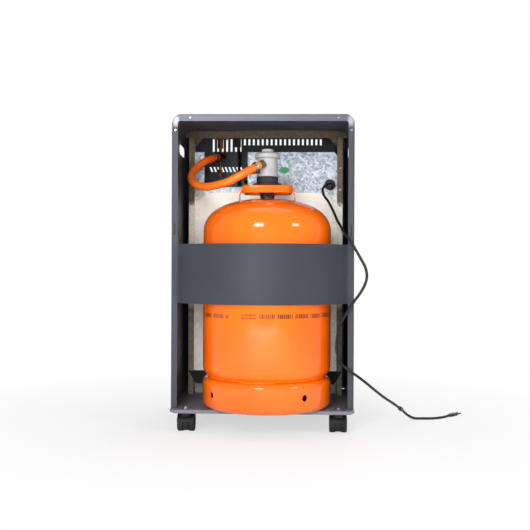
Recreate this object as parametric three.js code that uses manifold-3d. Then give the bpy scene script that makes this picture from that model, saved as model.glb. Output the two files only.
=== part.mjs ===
// Portable gas cabinet heater, seen from its open rear: a sheet-steel cabinet on four twin-wheel
// casters, with the gas bottle, its regulator and hose, the burner, and a small mains blower.
// Units are millimetres, +Z is up, -Y is the open rear side and +Y the burner side.
import * as THREE from 'three';
import { mergeVertices } from 'three/addons/utils/BufferGeometryUtils.js';
import Module from 'manifold-3d';

const wasm = await Module();
wasm.setup();

// ---------------------------------------------------------------- driving dimensions
const fit = 0.3;                  // gap left between pieces that touch
const sheet = 1.2;                // steel sheet of the cabinet
const spill = 5;                  // how far a cutting tool reaches past the face it cuts

const cabinetWidth = 420;
const cabinetDepth = 330;         // from the rear flange plane (y = 0) to the front flange plane
const cabinetTop = 731;
const seamHeight = 700;           // where the top cover meets the side panels
const rearFlange = 14;            // visible width of the side panels' rear flanges
const topFlange = 16;             // visible height of the top cover's rear flange
const frontFlange = 8;
const topCornerRadius = 22;
const panelBendRadius = 2.5;
const openingCornerRadius = 5;

const plateTop = 54;              // upper face of the base plate
const plateLip = 12;              // height of the plate's turned-down lip
const plateRearReach = 22;        // how far the plate sticks out behind the flange plane
const plateOverhang = 1;          // and at each side
const plateCornerRadius = 12;

const gripLength = 95;            // hand holes near the top of the side panels
const gripHeight = 25;
const gripCentreY = 171;
const gripCentreZ = 669;

const postOuter = cabinetWidth / 2 - 14.5;   // the two inner posts, measured from the middle plane
const postInner = postOuter - 13.5;
const postRear = 207;
const postFront = 234.7;
const postTop = 709;
const railHeight = 18;            // cross rail under the top cover
const railTabWidth = 20;
const railTabDrop = 22;
const railTabEase = 4;

const shieldPlane = 212;          // rear face of the galvanised heat shield
const shieldTop = 672;
const shieldBottom = 115;
const shieldChamfer = 8;
const windowHalf = postInner - 12;           // insulation window in the shield
const windowTop = 569;
const windowBottom = 127;
const windowRadius = 36;
const controlOpening = { left: -157, right: -46, bottom: 583 };
const boardThickness = 6;
const boardLap = 5;               // how far the board reaches behind the shield
const boardStep = { half: 142, top: 539, bottom: 160, radius: 15, height: 1.5 };

const lowerRail = { topHalf: postOuter - 0.5, bottomHalf: postOuter - 19.5, top: 114.6, bottom: 82.5 };
const partitionTop = 125;         // sheet that closes the burner side below the shield

const burnerWindow = { half: 160, bottom: 250, top: 555, radius: 8 };
const burnerBoxGap = 4;           // the box stands this far outside the window
const burnerBoxBack = 222;
const plaque = { width: 92, height: 130, depth: 12, pitch: 98, bottom: 335, ledge: 4 };
const plenum = { half: 150, bottom: 326, height: 148, front: 270 };
const reflectorSize = { lift: 8, drop: 4, reach: 45 };
const pilot = { halfX: 14, depth: 12, height: 24, setback: 8, tubeRadius: 4, tubeLength: 26, probeRadius: 2, probeLength: 30 };
const topSlots = { count: 25, pitch: 12, width: 5, bottom: 689, top: 722.5 };
const controlSlits = { count: 10, pitch: 10.2, width: 4.5, height: 13, slant: 5, left: -155, bottom: 634.5 };
const frontRibs = { count: 4, half: 130, pitch: 26, height: 9, relief: 3, corner: 4, bottom: 105 };
const guard = { wires: 15, wireRadius: 1.7, standoff: 10, half: 162, bottom: 244, top: 561, rails: 2 };

const caster = {
  x: cabinetWidth / 2 - 35, rearY: 0, frontInset: 38, trail: 12, wheelRadius: 19, wheelWidth: 13, hubWidth: 10,
  hoodGap: 0.8, hoodWall: 1.5, hoodSkirt: 4, collarRadius: 11, stemRadius: 4, stemDrop: 9, axleRadius: 3,
  nutRadius: 6.5, nutHeight: 5,
};

const bottle = { x: 9, y: 53, radius: 150, wall: 3, base: 54.3, waist: 125, shoulder: 455, domeTop: 539 };
const footRing = { bulge: 151, waistRadius: 136, wall: 3, bottomRadius: 146, bendRadius: 14, vent: 7.5 };
const roundSides = 30;            // sides of the bottle's turned pieces
const domeSteps = 9;
const handle = {
  halfX: 59, halfY: 42, top: 569.5, height: 18, thickness: 6, corner: 24, legWidth: 38, legThickness: 2.5, legSplay: 7,
};
const valve = { radius: 18, seat: 541, height: 30, ribs: 3, ribPitch: 4, neckStep: 6, stemStep: 7, depth: 22 };
const regulator = {
  flangeRadius: 34, flangeHeight: 4, baseRadius: 25.5, baseHeight: 16, bodyRadius: 24.5,
  capBottom: 633, capRadius: 29.5, capHeight: 17, knobRadius: 13.5, knobHeight: 7,
};
const lever = { offset: -21, outboard: 22, pivotZ: 600, armLength: 20, width: 8, thickness: 6, pinRadius: 5 };
const outlet = { radius: 10.5, length: 9, stubRadius: 7 };

const hoseRadius = 9.5;
const hoseSeat = 0.8;              // gap between a hose end and the shoulder it is pushed up to
const hoseSteps = 28;
const hoseRoute = [               // chosen by hand along the hose, from regulator to gas inlet
  [-7, 18, 616], [-16, 14, 611.5], [-28, 9.5, 604.5], [-54, 6, 589.5], [-83, 12, 575.5], [-116, 30, 568.7], [-146, 58, 569.5],
  [-172, 95, 583], [-180.5, 130, 601.5], [-175, 165, 623], [-157.5, 195, 644], [-136, 217, 656.5],
  [-124, 232, 661],
];
const clamp = { width: 8, thickness: 1.6, clearance: 0.6, fromEnd: 12.5 };
const inlet = {
  x: -120, y: 258, bottom: 614, pipeRadius: 4.2, nutZ: 628, nutRadius: 7, nutHeight: 8, blockRadius: 9,
  blockHeight: 20, topNutRadius: 7.5, topNutHeight: 24, nippleLength: 22,
};
const gasValve = { halfX: 17, front: 278, rear: 240, height: 17, boreDepth: 13, boreClearance: 0.5 };
const spindle = { radius: 3.5, travel: 4 };
const spindleHoleGap = 1;
const knob = { radius: 22, height: 17, skirt: 4, taper: 5.5, standoff: 5, wall: 2.5, ribWidth: 6, ribHeight: 3 };
const igniter = {
  x: -75, y: 268, radius: 8, length: 38, rim: 10, rimHeight: 2, buttonRadius: 6, buttonHeight: 7, buttonGuide: 3, travel: 5,
};
const rocker = {
  x: -20, y: 285, width: 13, length: 19, rim: 2, rimHeight: 1.6, depth: 15, wall: 1.5, wellDepth: 6, tilt: 8,
  paddleInset: 2.2, paddleRise: 1.7, paddleThickness: 2.4, paddleRoot: 5.5, paddleGap: 0.4, pivotRise: 0.5,
};
const pipeRadius = 4;
const pipeHoleGap = 1.5;
const pipeRunGap = 16;            // from the pipe's middle to the front panel
const supplyPipeY = 240;          // where the burner pipe drops into the burner

const blower = {
  left: -58, right: 172, front: 300, bottom: 600, top: 690,
  axisY: 262, axisZ: 645, drumRadius: 25, drumLeft: -45, drumRight: 158, blades: 10, axleRadius: 3,
  axleEnd: 3, discThickness: 2, bladeDepth: 8.5, bladeThickness: 1.2, intakeHalf: 15, motorRadius: 22, motorLength: 26,
};

const band = { half: cabinetWidth / 2 - 5.5, tab: 12, bottom: 296.5, height: 135, bulge: 103, corner: 9, steps: 20 };
const hook = { x: cabinetWidth / 2 - rearFlange / 2, z: [310, 395], height: 14, drop: 8, reach: 8, lift: 12, spareSlot: 452, slotWidth: 3.2, slotPlay: 0.5 };

const cordRadius = 3.2;
const cordSides = 8;
const cordSteps = 68;
const gland = { x: 163.5, z: 589, flangeRadius: 14, flangeDepth: 6, noseRadius: 7 };
const cordRoute = [               // chosen by hand: out of the gland, round the right side, to the floor
  [163.5, 186.5, 589], [163.5, 177, 589], [155, 163, 585.5], [143.5, 152, 574], [145, 141, 557.5], [156, 128, 540],
  [167, 112, 516], [176, 92, 492], [184, 66, 474], [187.5, 30, 459], [190, 4, 452.5], [197, -11, 446], [208, -19, 426],
  [222, -24, 401], [233.5, -23, 379], [237, -21, 360], [233.5, -21, 343], [223, -22, 323], [208.5, -20, 302.5],
  [194, -12, 279], [182.5, 0, 257], [174.5, 11, 232], [171.5, 18, 205], [172, 18, 182], [180, 7, 161],
  [193.5, -6, 148.5], [209, -11, 138], [231, -2, 121.5], [257, 25, 98.5], [285.5, 65, 73.5], [315, 108, 50.5],
  [338, 143, 31], [356, 163, 14], [374, 176, 4.2], [396, 178, 3.4], [420, 180, 3.4], [446, 195, 3.4],
  [468, 220, 3.4],
];
const tie = { fromPlug: 171, length: 9, radius: 5.4, clearance: 0.5 };
const plug = { length: 34, width: 14, height: 6.8, neck: 3.4, shoulder: 12, pinLength: 18, pinRadius: 1.8, pinPitch: 9 };

// ---------------------------------------------------------------- values that follow
const halfWidth = cabinetWidth / 2;
const innerHalf = halfWidth - sheet;                    // inner face of a side panel
const plateBottom = plateTop - sheet;
const frontPanelFront = cabinetDepth - sheet - fit;
const frontPanelBack = frontPanelFront - sheet;
const frontReach = cabinetDepth + guard.standoff;
const frameShift = (frontReach - band.bulge) / 2;       // middle of the whole object's depth
const casterFrontY = cabinetDepth - caster.frontInset;
const plateFront = frontPanelBack - fit;
const lipBottom = plateTop - plateLip;
const valveTop = valve.seat + valve.height;
const regulatorBase = valveTop + fit;
const leverPlaneY = bottle.y - lever.outboard;
const gasValveTop = cabinetTop - sheet - fit;
const gasValveBottom = gasValveTop - gasValve.height;
const behindShield = shieldPlane + sheet + fit;         // first free plane on the burner side of the shield

// ---------------------------------------------------------------- geometry helpers
const X = new THREE.Vector3(1, 0, 0);
const Y = new THREE.Vector3(0, 1, 0);
const Z = new THREE.Vector3(0, 0, 1);

function clean(geometry) {
  const bare = geometry.index ? geometry.toNonIndexed() : geometry.clone();
  bare.deleteAttribute('normal');
  bare.deleteAttribute('uv');
  const merged = mergeVertices(bare, 1e-4);
  const index = merged.index.array;
  const kept = [];
  for (let i = 0; i < index.length; i += 3) {
    const [a, b, c] = [index[i], index[i + 1], index[i + 2]];
    if (a !== b && b !== c && c !== a) kept.push(a, b, c);
  }
  merged.setIndex(kept);
  return volume(merged) < 0 ? flipped(merged) : merged;
}

function volume(geometry) {
  const p = geometry.attributes.position;
  const index = geometry.index.array;
  const [a, b, c] = [new THREE.Vector3(), new THREE.Vector3(), new THREE.Vector3()];
  let sum = 0;
  for (let i = 0; i < index.length; i += 3) {
    a.fromBufferAttribute(p, index[i]);
    b.fromBufferAttribute(p, index[i + 1]);
    c.fromBufferAttribute(p, index[i + 2]);
    sum += a.dot(b.cross(c)) / 6;
  }
  return sum;
}

function flipped(geometry) {
  const index = Array.from(geometry.index.array);
  for (let i = 0; i < index.length; i += 3) [index[i], index[i + 1]] = [index[i + 1], index[i]];
  geometry.setIndex(index);
  return geometry;
}

function toSolid(geometry) {
  const closed = clean(geometry);
  return new wasm.Manifold(new wasm.Mesh({
    numProp: 3,
    vertProperties: new Float32Array(closed.attributes.position.array),
    triVerts: new Uint32Array(closed.index.array),
  }));
}

function toGeometry(solid) {
  const mesh = solid.getMesh();
  const geometry = new THREE.BufferGeometry();
  geometry.setAttribute('position', new THREE.BufferAttribute(new Float32Array(mesh.vertProperties), 3));
  geometry.setIndex(Array.from(mesh.triVerts));
  return geometry;
}

function join(first, ...others) {
  return toGeometry(others.reduce((solid, other) => solid.add(toSolid(other)), toSolid(first)));
}

function cut(body, ...tools) {
  return toGeometry(tools.reduce((solid, tool) => solid.subtract(toSolid(tool)), toSolid(body)));
}

function common(a, b) {
  return toGeometry(toSolid(a).intersect(toSolid(b)));
}

// a box given by its low and high corner
function block(x0, y0, z0, x1, y1, z1) {
  const box = new THREE.BoxGeometry(x1 - x0, y1 - y0, z1 - z0);
  return box.translate((x0 + x1) / 2, (y0 + y1) / 2, (z0 + z1) / 2);
}

// a flat shape (u, v) given thickness along one axis, starting at `from`
function prism(shape, axis, from, thickness, curveSegments = 5) {
  const solid = new THREE.ExtrudeGeometry(shape, { depth: thickness, bevelEnabled: false, curveSegments });
  const basis = new THREE.Matrix4();
  if (axis === 'x') basis.makeBasis(Y, Z, X);
  if (axis === 'y') basis.makeBasis(X, Z, Y.clone().negate());
  solid.applyMatrix4(basis);
  if (axis === 'x') return solid.translate(from, 0, 0);
  if (axis === 'y') return solid.translate(0, from + thickness, 0);
  return solid.translate(0, 0, from);
}

function polygon(points) {
  return new THREE.Shape(points.map(([u, v]) => new THREE.Vector2(u, v)));
}

function roundedRectangle(u0, v0, u1, v1, radius) {
  const shape = new THREE.Shape();
  shape.moveTo(u0 + radius, v0);
  shape.lineTo(u1 - radius, v0);
  shape.absarc(u1 - radius, v0 + radius, radius, -Math.PI / 2, 0);
  shape.lineTo(u1, v1 - radius);
  shape.absarc(u1 - radius, v1 - radius, radius, 0, Math.PI / 2);
  shape.lineTo(u0 + radius, v1);
  shape.absarc(u0 + radius, v1 - radius, radius, Math.PI / 2, Math.PI);
  shape.lineTo(u0, v0 + radius);
  shape.absarc(u0 + radius, v0 + radius, radius, Math.PI, Math.PI * 1.5);
  return shape;
}

// an outline with square feet and two rounded upper corners
function archShape(half, bottom, top, radius) {
  const shape = new THREE.Shape();
  shape.moveTo(-half, bottom);
  shape.lineTo(half, bottom);
  shape.lineTo(half, top - radius);
  shape.absarc(half - radius, top - radius, radius, 0, Math.PI / 2);
  shape.lineTo(-half + radius, top);
  shape.absarc(-half + radius, top - radius, radius, Math.PI / 2, Math.PI);
  return shape;
}

// a turned solid about the vertical through (x, y); profile is a list of [radius, z]
function turned(profile, x = 0, y = 0, segments = 20) {
  const points = profile.map(([r, z]) => new THREE.Vector2(r, z));
  const solid = new THREE.LatheGeometry(points, segments);
  return solid.rotateX(Math.PI / 2).translate(x, y, 0);
}

function arcPoints(centreR, centreZ, radius, fromDegrees, toDegrees, steps) {
  return Array.from({ length: steps + 1 }, (_, i) => {
    const angle = THREE.MathUtils.degToRad(fromDegrees + (toDegrees - fromDegrees) * i / steps);
    return [centreR + radius * Math.cos(angle), centreZ + radius * Math.sin(angle)];
  });
}

// a cylinder between two points
function rod(from, to, radius, sides = 12) {
  const a = new THREE.Vector3(...from);
  const b = new THREE.Vector3(...to);
  const along = b.clone().sub(a);
  const solid = new THREE.CylinderGeometry(radius, radius, along.length(), sides);
  solid.applyQuaternion(new THREE.Quaternion().setFromUnitVectors(Y, along.clone().normalize()));
  const middle = a.add(b).multiplyScalar(0.5);
  return solid.translate(middle.x, middle.y, middle.z);
}

function circle(radius, sides) {
  return polygon(Array.from({ length: sides }, (_, i) => {
    const angle = (i + 0.5) / sides * Math.PI * 2;
    return [radius * Math.cos(angle), radius * Math.sin(angle)];
  }));
}

function smoothCurve(points) {
  return new THREE.CatmullRomCurve3(points.map((p) => new THREE.Vector3(...p)), false, 'centripetal');
}

// a rod swept along a curve
function sweep(curve, radius, steps, sides) {
  return new THREE.ExtrudeGeometry(circle(radius, sides), { steps, extrudePath: curve, bevelEnabled: false });
}

// turns a solid made along +Z so that it runs along `direction` from `origin`
function aimed(geometry, origin, direction) {
  const turn = new THREE.Quaternion().setFromUnitVectors(Z, direction.clone().normalize());
  return geometry.applyQuaternion(turn).translate(origin.x, origin.y, origin.z);
}

// ---------------------------------------------------------------- the scene graph
const heater = new THREE.Group();
heater.position.y = -frameShift;

const finishes = {
  greyPaint: { color: '#5b5f68', roughness: 0.55, metalness: 0.2 },
  coverPaint: { color: '#8b8e98', roughness: 0.5, metalness: 0.2 },
  bandPaint: { color: '#474b54', roughness: 0.5, metalness: 0.2 },
  zinc: { color: '#b9c2c6', roughness: 0.42, metalness: 0.8 },
  darkSheet: { color: '#2b2f2d', roughness: 0.7, metalness: 0.2 },
  board: { color: '#ece8dd', roughness: 0.95, metalness: 0 },
  blackPlastic: { color: '#26272a', roughness: 0.55, metalness: 0 },
  orangePaint: { color: '#e8741e', roughness: 0.3, metalness: 0 },
  brass: { color: '#b08a4a', roughness: 0.35, metalness: 1 },
  castGrey: { color: '#b7b9bd', roughness: 0.45, metalness: 0.3 },
  hose: { color: '#e0561c', roughness: 0.5, metalness: 0 },
  chrome: { color: '#c9cbce', roughness: 0.15, metalness: 1 },
  ceramic: { color: '#d9c9b2', roughness: 0.9, metalness: 0 },
  copper: { color: '#a8633e', roughness: 0.4, metalness: 1 },
};

function add(name, geometry, finish) {
  const mesh = new THREE.Mesh(clean(geometry), new THREE.MeshStandardMaterial(finishes[finish]));
  mesh.name = name;
  heater.add(mesh);
}

// ---------------------------------------------------------------- cabinet
function basePlate() {
  const outline = (inset) => roundedRectangle(
    -halfWidth - plateOverhang + inset, -plateRearReach + inset,
    halfWidth + plateOverhang - inset, plateFront - inset, plateCornerRadius - inset);
  const solid = prism(outline(0), 'z', lipBottom, plateLip, 4);
  const hollow = prism(outline(sheet), 'z', lipBottom - spill, plateLip - sheet + spill);
  const holes = casterPlaces().map(
    ({ x, y }) => rod([x, y, lipBottom], [x, y, plateTop + spill], caster.stemRadius + fit));
  add('base_plate', cut(solid, hollow, ...holes), 'greyPaint');
}

function hookSlots(side) {
  const x = side * hook.x;
  const bottoms = [...hook.z, hook.spareSlot];
  return bottoms.map((z) => block(
    x - hook.slotWidth / 2, -spill, z - hook.slotPlay,
    x + hook.slotWidth / 2, sheet + spill, z + hook.height + hook.lift + hook.slotPlay));
}

function sidePanel(name, side) {
  const bend = panelBendRadius;
  const inner = Math.max(bend - sheet, 0.2);
  const outline = new THREE.Shape();
  outline.moveTo(halfWidth - rearFlange, 0);
  outline.lineTo(halfWidth - bend, 0);
  outline.absarc(halfWidth - bend, bend, bend, -Math.PI / 2, 0);
  outline.lineTo(halfWidth, cabinetDepth - bend);
  outline.absarc(halfWidth - bend, cabinetDepth - bend, bend, 0, Math.PI / 2);
  outline.lineTo(halfWidth - frontFlange, cabinetDepth);
  outline.lineTo(halfWidth - frontFlange, cabinetDepth - sheet);
  outline.lineTo(innerHalf - inner, cabinetDepth - sheet);
  outline.absarc(innerHalf - inner, cabinetDepth - sheet - inner, inner, Math.PI / 2, 0, true);
  outline.lineTo(innerHalf, sheet + inner);
  outline.absarc(innerHalf - inner, sheet + inner, inner, 0, -Math.PI / 2, true);
  outline.lineTo(halfWidth - rearFlange, sheet);
  const right = prism(outline, 'z', plateTop + fit, seamHeight - plateTop - fit, 4);
  const panel = side > 0 ? right : clean(right.scale(-1, 1, 1));
  const grip = roundedRectangle(
    gripCentreY - gripLength / 2, gripCentreZ - gripHeight / 2,
    gripCentreY + gripLength / 2, gripCentreZ + gripHeight / 2, gripHeight / 2 - 0.5);
  const gripTool = prism(grip, 'x', side > 0 ? innerHalf - spill : -halfWidth - spill, sheet + 2 * spill);
  add(name, cut(panel, gripTool, ...hookSlots(side)), 'greyPaint');
}

function topCover() {
  const bottom = seamHeight + fit;
  const low = bottom - spill;
  const shell = prism(archShape(halfWidth, bottom, cabinetTop, topCornerRadius), 'y', 0, cabinetDepth);
  const hollow = prism(
    archShape(innerHalf, low, cabinetTop - sheet, topCornerRadius - sheet), 'y', sheet, cabinetDepth - 2 * sheet);
  const rear = prism(
    archShape(halfWidth - rearFlange, low, cabinetTop - topFlange, openingCornerRadius),
    'y', -spill, sheet + 2 * spill);
  const front = prism(
    archShape(halfWidth - frontFlange, low, cabinetTop - frontFlange, topCornerRadius - frontFlange),
    'y', cabinetDepth - sheet - spill, sheet + 2 * spill);
  const through = (x, y, radius) => rod([x, y, cabinetTop - spill], [x, y, cabinetTop + spill], radius, 16);
  const rockerHole = block(
    rocker.x - rocker.width / 2 - fit, rocker.y - rocker.length / 2 - fit, cabinetTop - spill,
    rocker.x + rocker.width / 2 + fit, rocker.y + rocker.length / 2 + fit, cabinetTop + spill);
  add('top_cover', cut(
    shell, hollow, rear, front, rockerHole,
    through(inlet.x, inlet.y, spindle.radius + spindleHoleGap),
    through(igniter.x, igniter.y, igniter.radius + fit)), 'coverPaint');
}

function frontPanel() {
  const half = innerHalf - panelBendRadius;
  const top = cabinetTop - sheet - fit;
  const panel = prism(archShape(half, plateTop + fit, top, topCornerRadius - sheet - fit), 'y', frontPanelBack, sheet);
  const through = (shape) => prism(shape, 'y', frontPanelBack - spill, sheet + 2 * spill);
  const { half: w, bottom, top: windowUp, radius } = burnerWindow;
  const cuts = [through(roundedRectangle(-w, bottom, w, windowUp, radius))];
  for (let i = 0; i < topSlots.count; i += 1) {
    const x = (i - (topSlots.count - 1) / 2) * topSlots.pitch;
    const [u0, u1] = [x - topSlots.width / 2, x + topSlots.width / 2];
    const [v0, v1] = [topSlots.bottom, topSlots.top];
    cuts.push(through(polygon([[u0, v0], [u1, v0], [u1, v1], [u0, v1]])));
  }
  for (let i = 0; i < controlSlits.count; i += 1) {
    const u = controlSlits.left + i * controlSlits.pitch;
    const v = controlSlits.bottom;
    const { width, height, slant } = controlSlits;
    cuts.push(through(polygon([[u + slant, v], [u + slant + width, v], [u + width, v + height], [u, v + height]])));
  }
  const ribs = Array.from({ length: frontRibs.count }, (_, i) => {
    const v = frontRibs.bottom + i * frontRibs.pitch;
    const { half: ribHalf, height, relief, corner } = frontRibs;
    const shape = roundedRectangle(-ribHalf, v, ribHalf, v + height, corner);
    return prism(shape, 'y', frontPanelFront - sheet / 2, relief + sheet / 2, 2);
  });
  add('front_panel', join(cut(panel, ...cuts), ...ribs), 'greyPaint');
}

function innerPosts() {
  for (const [name, side] of [['left_post', -1], ['right_post', 1]]) {
    const outline = polygon([
      [side * postInner, postRear], [side * postOuter, postRear], [side * postOuter, postFront],
      [side * (postOuter - sheet), postFront], [side * (postOuter - sheet), postRear + sheet],
      [side * (postInner + sheet), postRear + sheet], [side * (postInner + sheet), postFront],
      [side * postInner, postFront],
    ]);
    add(name, prism(outline, 'z', plateTop + fit, postTop - plateTop - fit), 'zinc');
  }
}

function topRail() {
  const half = innerHalf - fit;
  const top = cabinetTop - sheet - fit;
  const bottom = top - railHeight;
  const tab = (side) => [
    [side * (postInner - railTabWidth), bottom], [side * postInner, bottom - railTabDrop],
    [side * postOuter, bottom - railTabDrop], [side * (postOuter + railTabEase), bottom],
  ];
  const strip = prism(polygon([...tab(1), [half, bottom], [half, top], [-half, top], [-half, bottom],
    ...tab(-1).reverse()]), 'y', postFront + fit, sheet);
  const sleeve = prism(
    archShape(half, bottom - 2 * railTabDrop, top, topCornerRadius - sheet - fit),
    'y', postFront - spill, sheet + 2 * spill);
  add('top_rail', common(strip, sleeve), 'zinc');
}

function lowerCrossRail() {
  const { topHalf, bottomHalf, top, bottom } = lowerRail;
  const outline = polygon([[-bottomHalf, bottom], [bottomHalf, bottom], [topHalf, top], [-topHalf, top]]);
  add('lower_rail', prism(outline, 'y', postRear - fit - sheet, sheet), 'darkSheet');
}

function lowerPartition() {
  add('lower_partition', block(
    -postOuter, postFront + fit, plateTop + fit, postOuter, postFront + fit + sheet, partitionTop), 'zinc');
}

// ---------------------------------------------------------------- heat shield and insulation
function heatShield() {
  const half = postInner - fit;
  const { left, right, bottom } = controlOpening;
  const outline = polygon([
    [-half, shieldBottom], [half, shieldBottom], [half, shieldTop - shieldChamfer], [half - shieldChamfer, shieldTop],
    [right, shieldTop], [right, bottom], [left, bottom], [left, shieldTop], [-half, shieldTop],
  ]);
  const panel = prism(outline, 'y', shieldPlane, sheet);
  const window = prism(
    roundedRectangle(-windowHalf, windowBottom, windowHalf, windowTop, windowRadius),
    'y', shieldPlane - spill, sheet + 2 * spill);
  add('heat_shield', cut(panel, window), 'zinc');
}

function insulationBoard() {
  const lap = (reach) => roundedRectangle(
    -windowHalf - reach, windowBottom - reach, windowHalf + reach, windowTop + reach, windowRadius + reach);
  const { half, top, bottom, radius, height } = boardStep;
  const raised = prism(roundedRectangle(-half, bottom, half, top, radius), 'y', behindShield - height, height + 1);
  add('insulation_board', join(prism(lap(boardLap), 'y', behindShield, boardThickness), raised), 'board');
}

// ---------------------------------------------------------------- burner side
function burnerBox() {
  const half = burnerWindow.half + burnerBoxGap;
  const bottom = burnerWindow.bottom - burnerBoxGap;
  const top = burnerWindow.top + burnerBoxGap;
  const rim = frontPanelBack - fit;
  const tray = block(-half, burnerBoxBack, bottom, half, rim, top);
  const hollow = block(
    -half + sheet, burnerBoxBack + sheet, bottom + sheet, half - sheet, rim + spill, top - sheet);
  const pipeHole = rod(
    [igniter.x, supplyPipeY, top - spill], [igniter.x, supplyPipeY, top + spill], pipeRadius + pipeHoleGap);
  add('burner_box', cut(tray, hollow, pipeHole), 'zinc');
}

function burnerPlenum() {
  const { half, bottom, height, front } = plenum;
  const back = burnerBoxBack + sheet + fit;
  const body = block(-half, back, bottom, half, front, bottom + height);
  const chamber = block(
    -half + sheet, back + sheet, bottom + sheet,
    half - sheet, front - plaque.depth - fit - sheet, bottom + height - sheet);
  const pockets = plaquePlaces().map((x) => block(
    x - plaque.width / 2 - fit, front - plaque.depth - fit, plaque.bottom - fit,
    x + plaque.width / 2 + fit, front + spill, plaque.bottom + plaque.height + fit));
  const throats = plaquePlaces().map((x) => block(
    x - plaque.width / 2 + plaque.ledge, back + 2 * sheet, plaque.bottom + plaque.ledge,
    x + plaque.width / 2 - plaque.ledge, front, plaque.bottom + plaque.height - plaque.ledge));
  add('burner_plenum', cut(body, chamber, ...pockets, ...throats), 'darkSheet');
  plaquePlaces().forEach((x, i) => add(`ceramic_plaque_${i + 1}`, block(
    x - plaque.width / 2, front - plaque.depth, plaque.bottom,
    x + plaque.width / 2, front, plaque.bottom + plaque.height), 'ceramic'));
}

function plaquePlaces() {
  return [-plaque.pitch, 0, plaque.pitch];
}

function reflector() {
  const half = burnerWindow.half + burnerBoxGap - sheet - fit;
  const low = plenum.bottom + plenum.height + reflectorSize.lift;
  const back = burnerBoxBack + sheet + fit;
  const high = burnerWindow.top - reflectorSize.drop;
  const front = plenum.front + reflectorSize.reach;
  const outline = polygon([[back, low], [front, high], [front, high + sheet], [back, low + sheet]]);
  const pipeHole = rod([igniter.x, supplyPipeY, low - spill], [igniter.x, supplyPipeY, high], pipeRadius + pipeHoleGap);
  add('reflector', cut(prism(outline, 'x', -half, 2 * half), pipeHole), 'chrome');
}

function wireGuard() {
  const { wires, wireRadius, standoff, half, bottom, top, rails } = guard;
  const face = cabinetDepth + standoff;
  const foot = frontPanelFront + fit;
  const inner = face - 2 * wireRadius;
  const bend = 2 * wireRadius;
  const loop = polygon([
    [foot, bottom], [inner + bend / 2, bottom], [face, bottom + bend], [face, top - bend],
    [inner + bend / 2, top], [foot, top], [foot, top - bend], [inner, top - bend], [inner, bottom + bend],
    [foot, bottom + bend],
  ]);
  const pieces = Array.from({ length: wires }, (_, i) => {
    const x = (half - bend) * (2 * i / (wires - 1) - 1);
    return prism(loop, 'x', x - wireRadius, 2 * wireRadius);
  });
  for (let i = 0; i < rails; i += 1) {
    const z = bottom + (top - bottom) * (i + 0.5) / rails;
    pieces.push(rod([-half, inner, z], [half, inner, z], wireRadius, 6));
  }
  add('wire_guard', join(...pieces), 'chrome');
}

function pilotBurner() {
  const { halfX, depth, height, setback, tubeRadius, tubeLength, probeRadius, probeLength } = pilot;
  const top = plenum.bottom - fit;
  const y = plenum.front - setback;
  const z = top - height / 2;
  const bracket = block(-halfX, y - depth / 2, top - height, halfX, y + depth / 2, top);
  const tube = rod([-halfX / 2, y, z], [-halfX / 2, y + tubeLength, z], tubeRadius);
  const probe = rod([halfX / 2, y, z], [halfX / 2, y + probeLength, z], probeRadius, 8);
  add('pilot_burner', join(bracket, tube, probe), 'brass');
}

// ---------------------------------------------------------------- gas line and controls
function gasLine() {
  const { x, y } = inlet;
  const top = gasValveBottom - fit;
  const end = smoothCurve(hoseRoute).getPoint(1);
  const toward = smoothCurve(hoseRoute).getTangent(1);
  const nippleTip = end.clone().addScaledVector(toward, hoseSeat).toArray();
  const nippleRoot = end.clone().addScaledVector(toward, inlet.nippleLength).toArray();
  const blockMiddle = end.z + 7;
  add('inlet_fitting', join(
    rod([x, y, inlet.bottom], [x, y, top - 1], inlet.pipeRadius),
    rod([x, y, top - inlet.topNutHeight], [x, y, top], inlet.topNutRadius),
    rod([x, y, inlet.nutZ - inlet.nutHeight / 2], [x, y, inlet.nutZ + inlet.nutHeight / 2], inlet.nutRadius, 6),
    rod([x, y, blockMiddle - inlet.blockHeight / 2], [x, y, blockMiddle + inlet.blockHeight / 2], inlet.blockRadius, 6),
    rod(nippleTip, nippleRoot, hoseRadius - 1.5),
    rod(nippleRoot, [x, y, blockMiddle], hoseRadius - 3)), 'brass');

  const { halfX, front, rear, boreDepth, boreClearance } = gasValve;
  const body = block(x - halfX, rear, gasValveBottom, x + halfX, front, gasValveTop);
  const bore = rod([x, y, gasValveTop - boreDepth], [x, y, gasValveTop + spill], spindle.radius + boreClearance);
  add('gas_valve', cut(body, bore), 'brass');

  const low = gasValveBottom;
  const run = frontPanelBack - pipeRunGap;
  const boxTop = burnerWindow.top + burnerBoxGap;
  const pipe = smoothCurve([       // out of the valve, down behind the front panel and into the burner
    [x + halfX + fit, y + 10, low + 7], [x + halfX + 9, y + 10, low + 7], [igniter.x - 13, y + 18, low + 6],
    [igniter.x - 2, run - 4, low - 3], [igniter.x, run, low - 22], [igniter.x, run, boxTop + 50],
    [igniter.x, run - 12, boxTop + 35], [igniter.x, (run + supplyPipeY) / 2, boxTop + 27],
    [igniter.x, supplyPipeY + 8, boxTop + 20], [igniter.x, supplyPipeY, boxTop + 8],
    [igniter.x, supplyPipeY, boxTop - 14], [igniter.x, supplyPipeY, plenum.bottom + plenum.height + fit],
  ]);
  add('burner_pipe', sweep(pipe, pipeRadius, 28, 6), 'copper');
}

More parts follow.
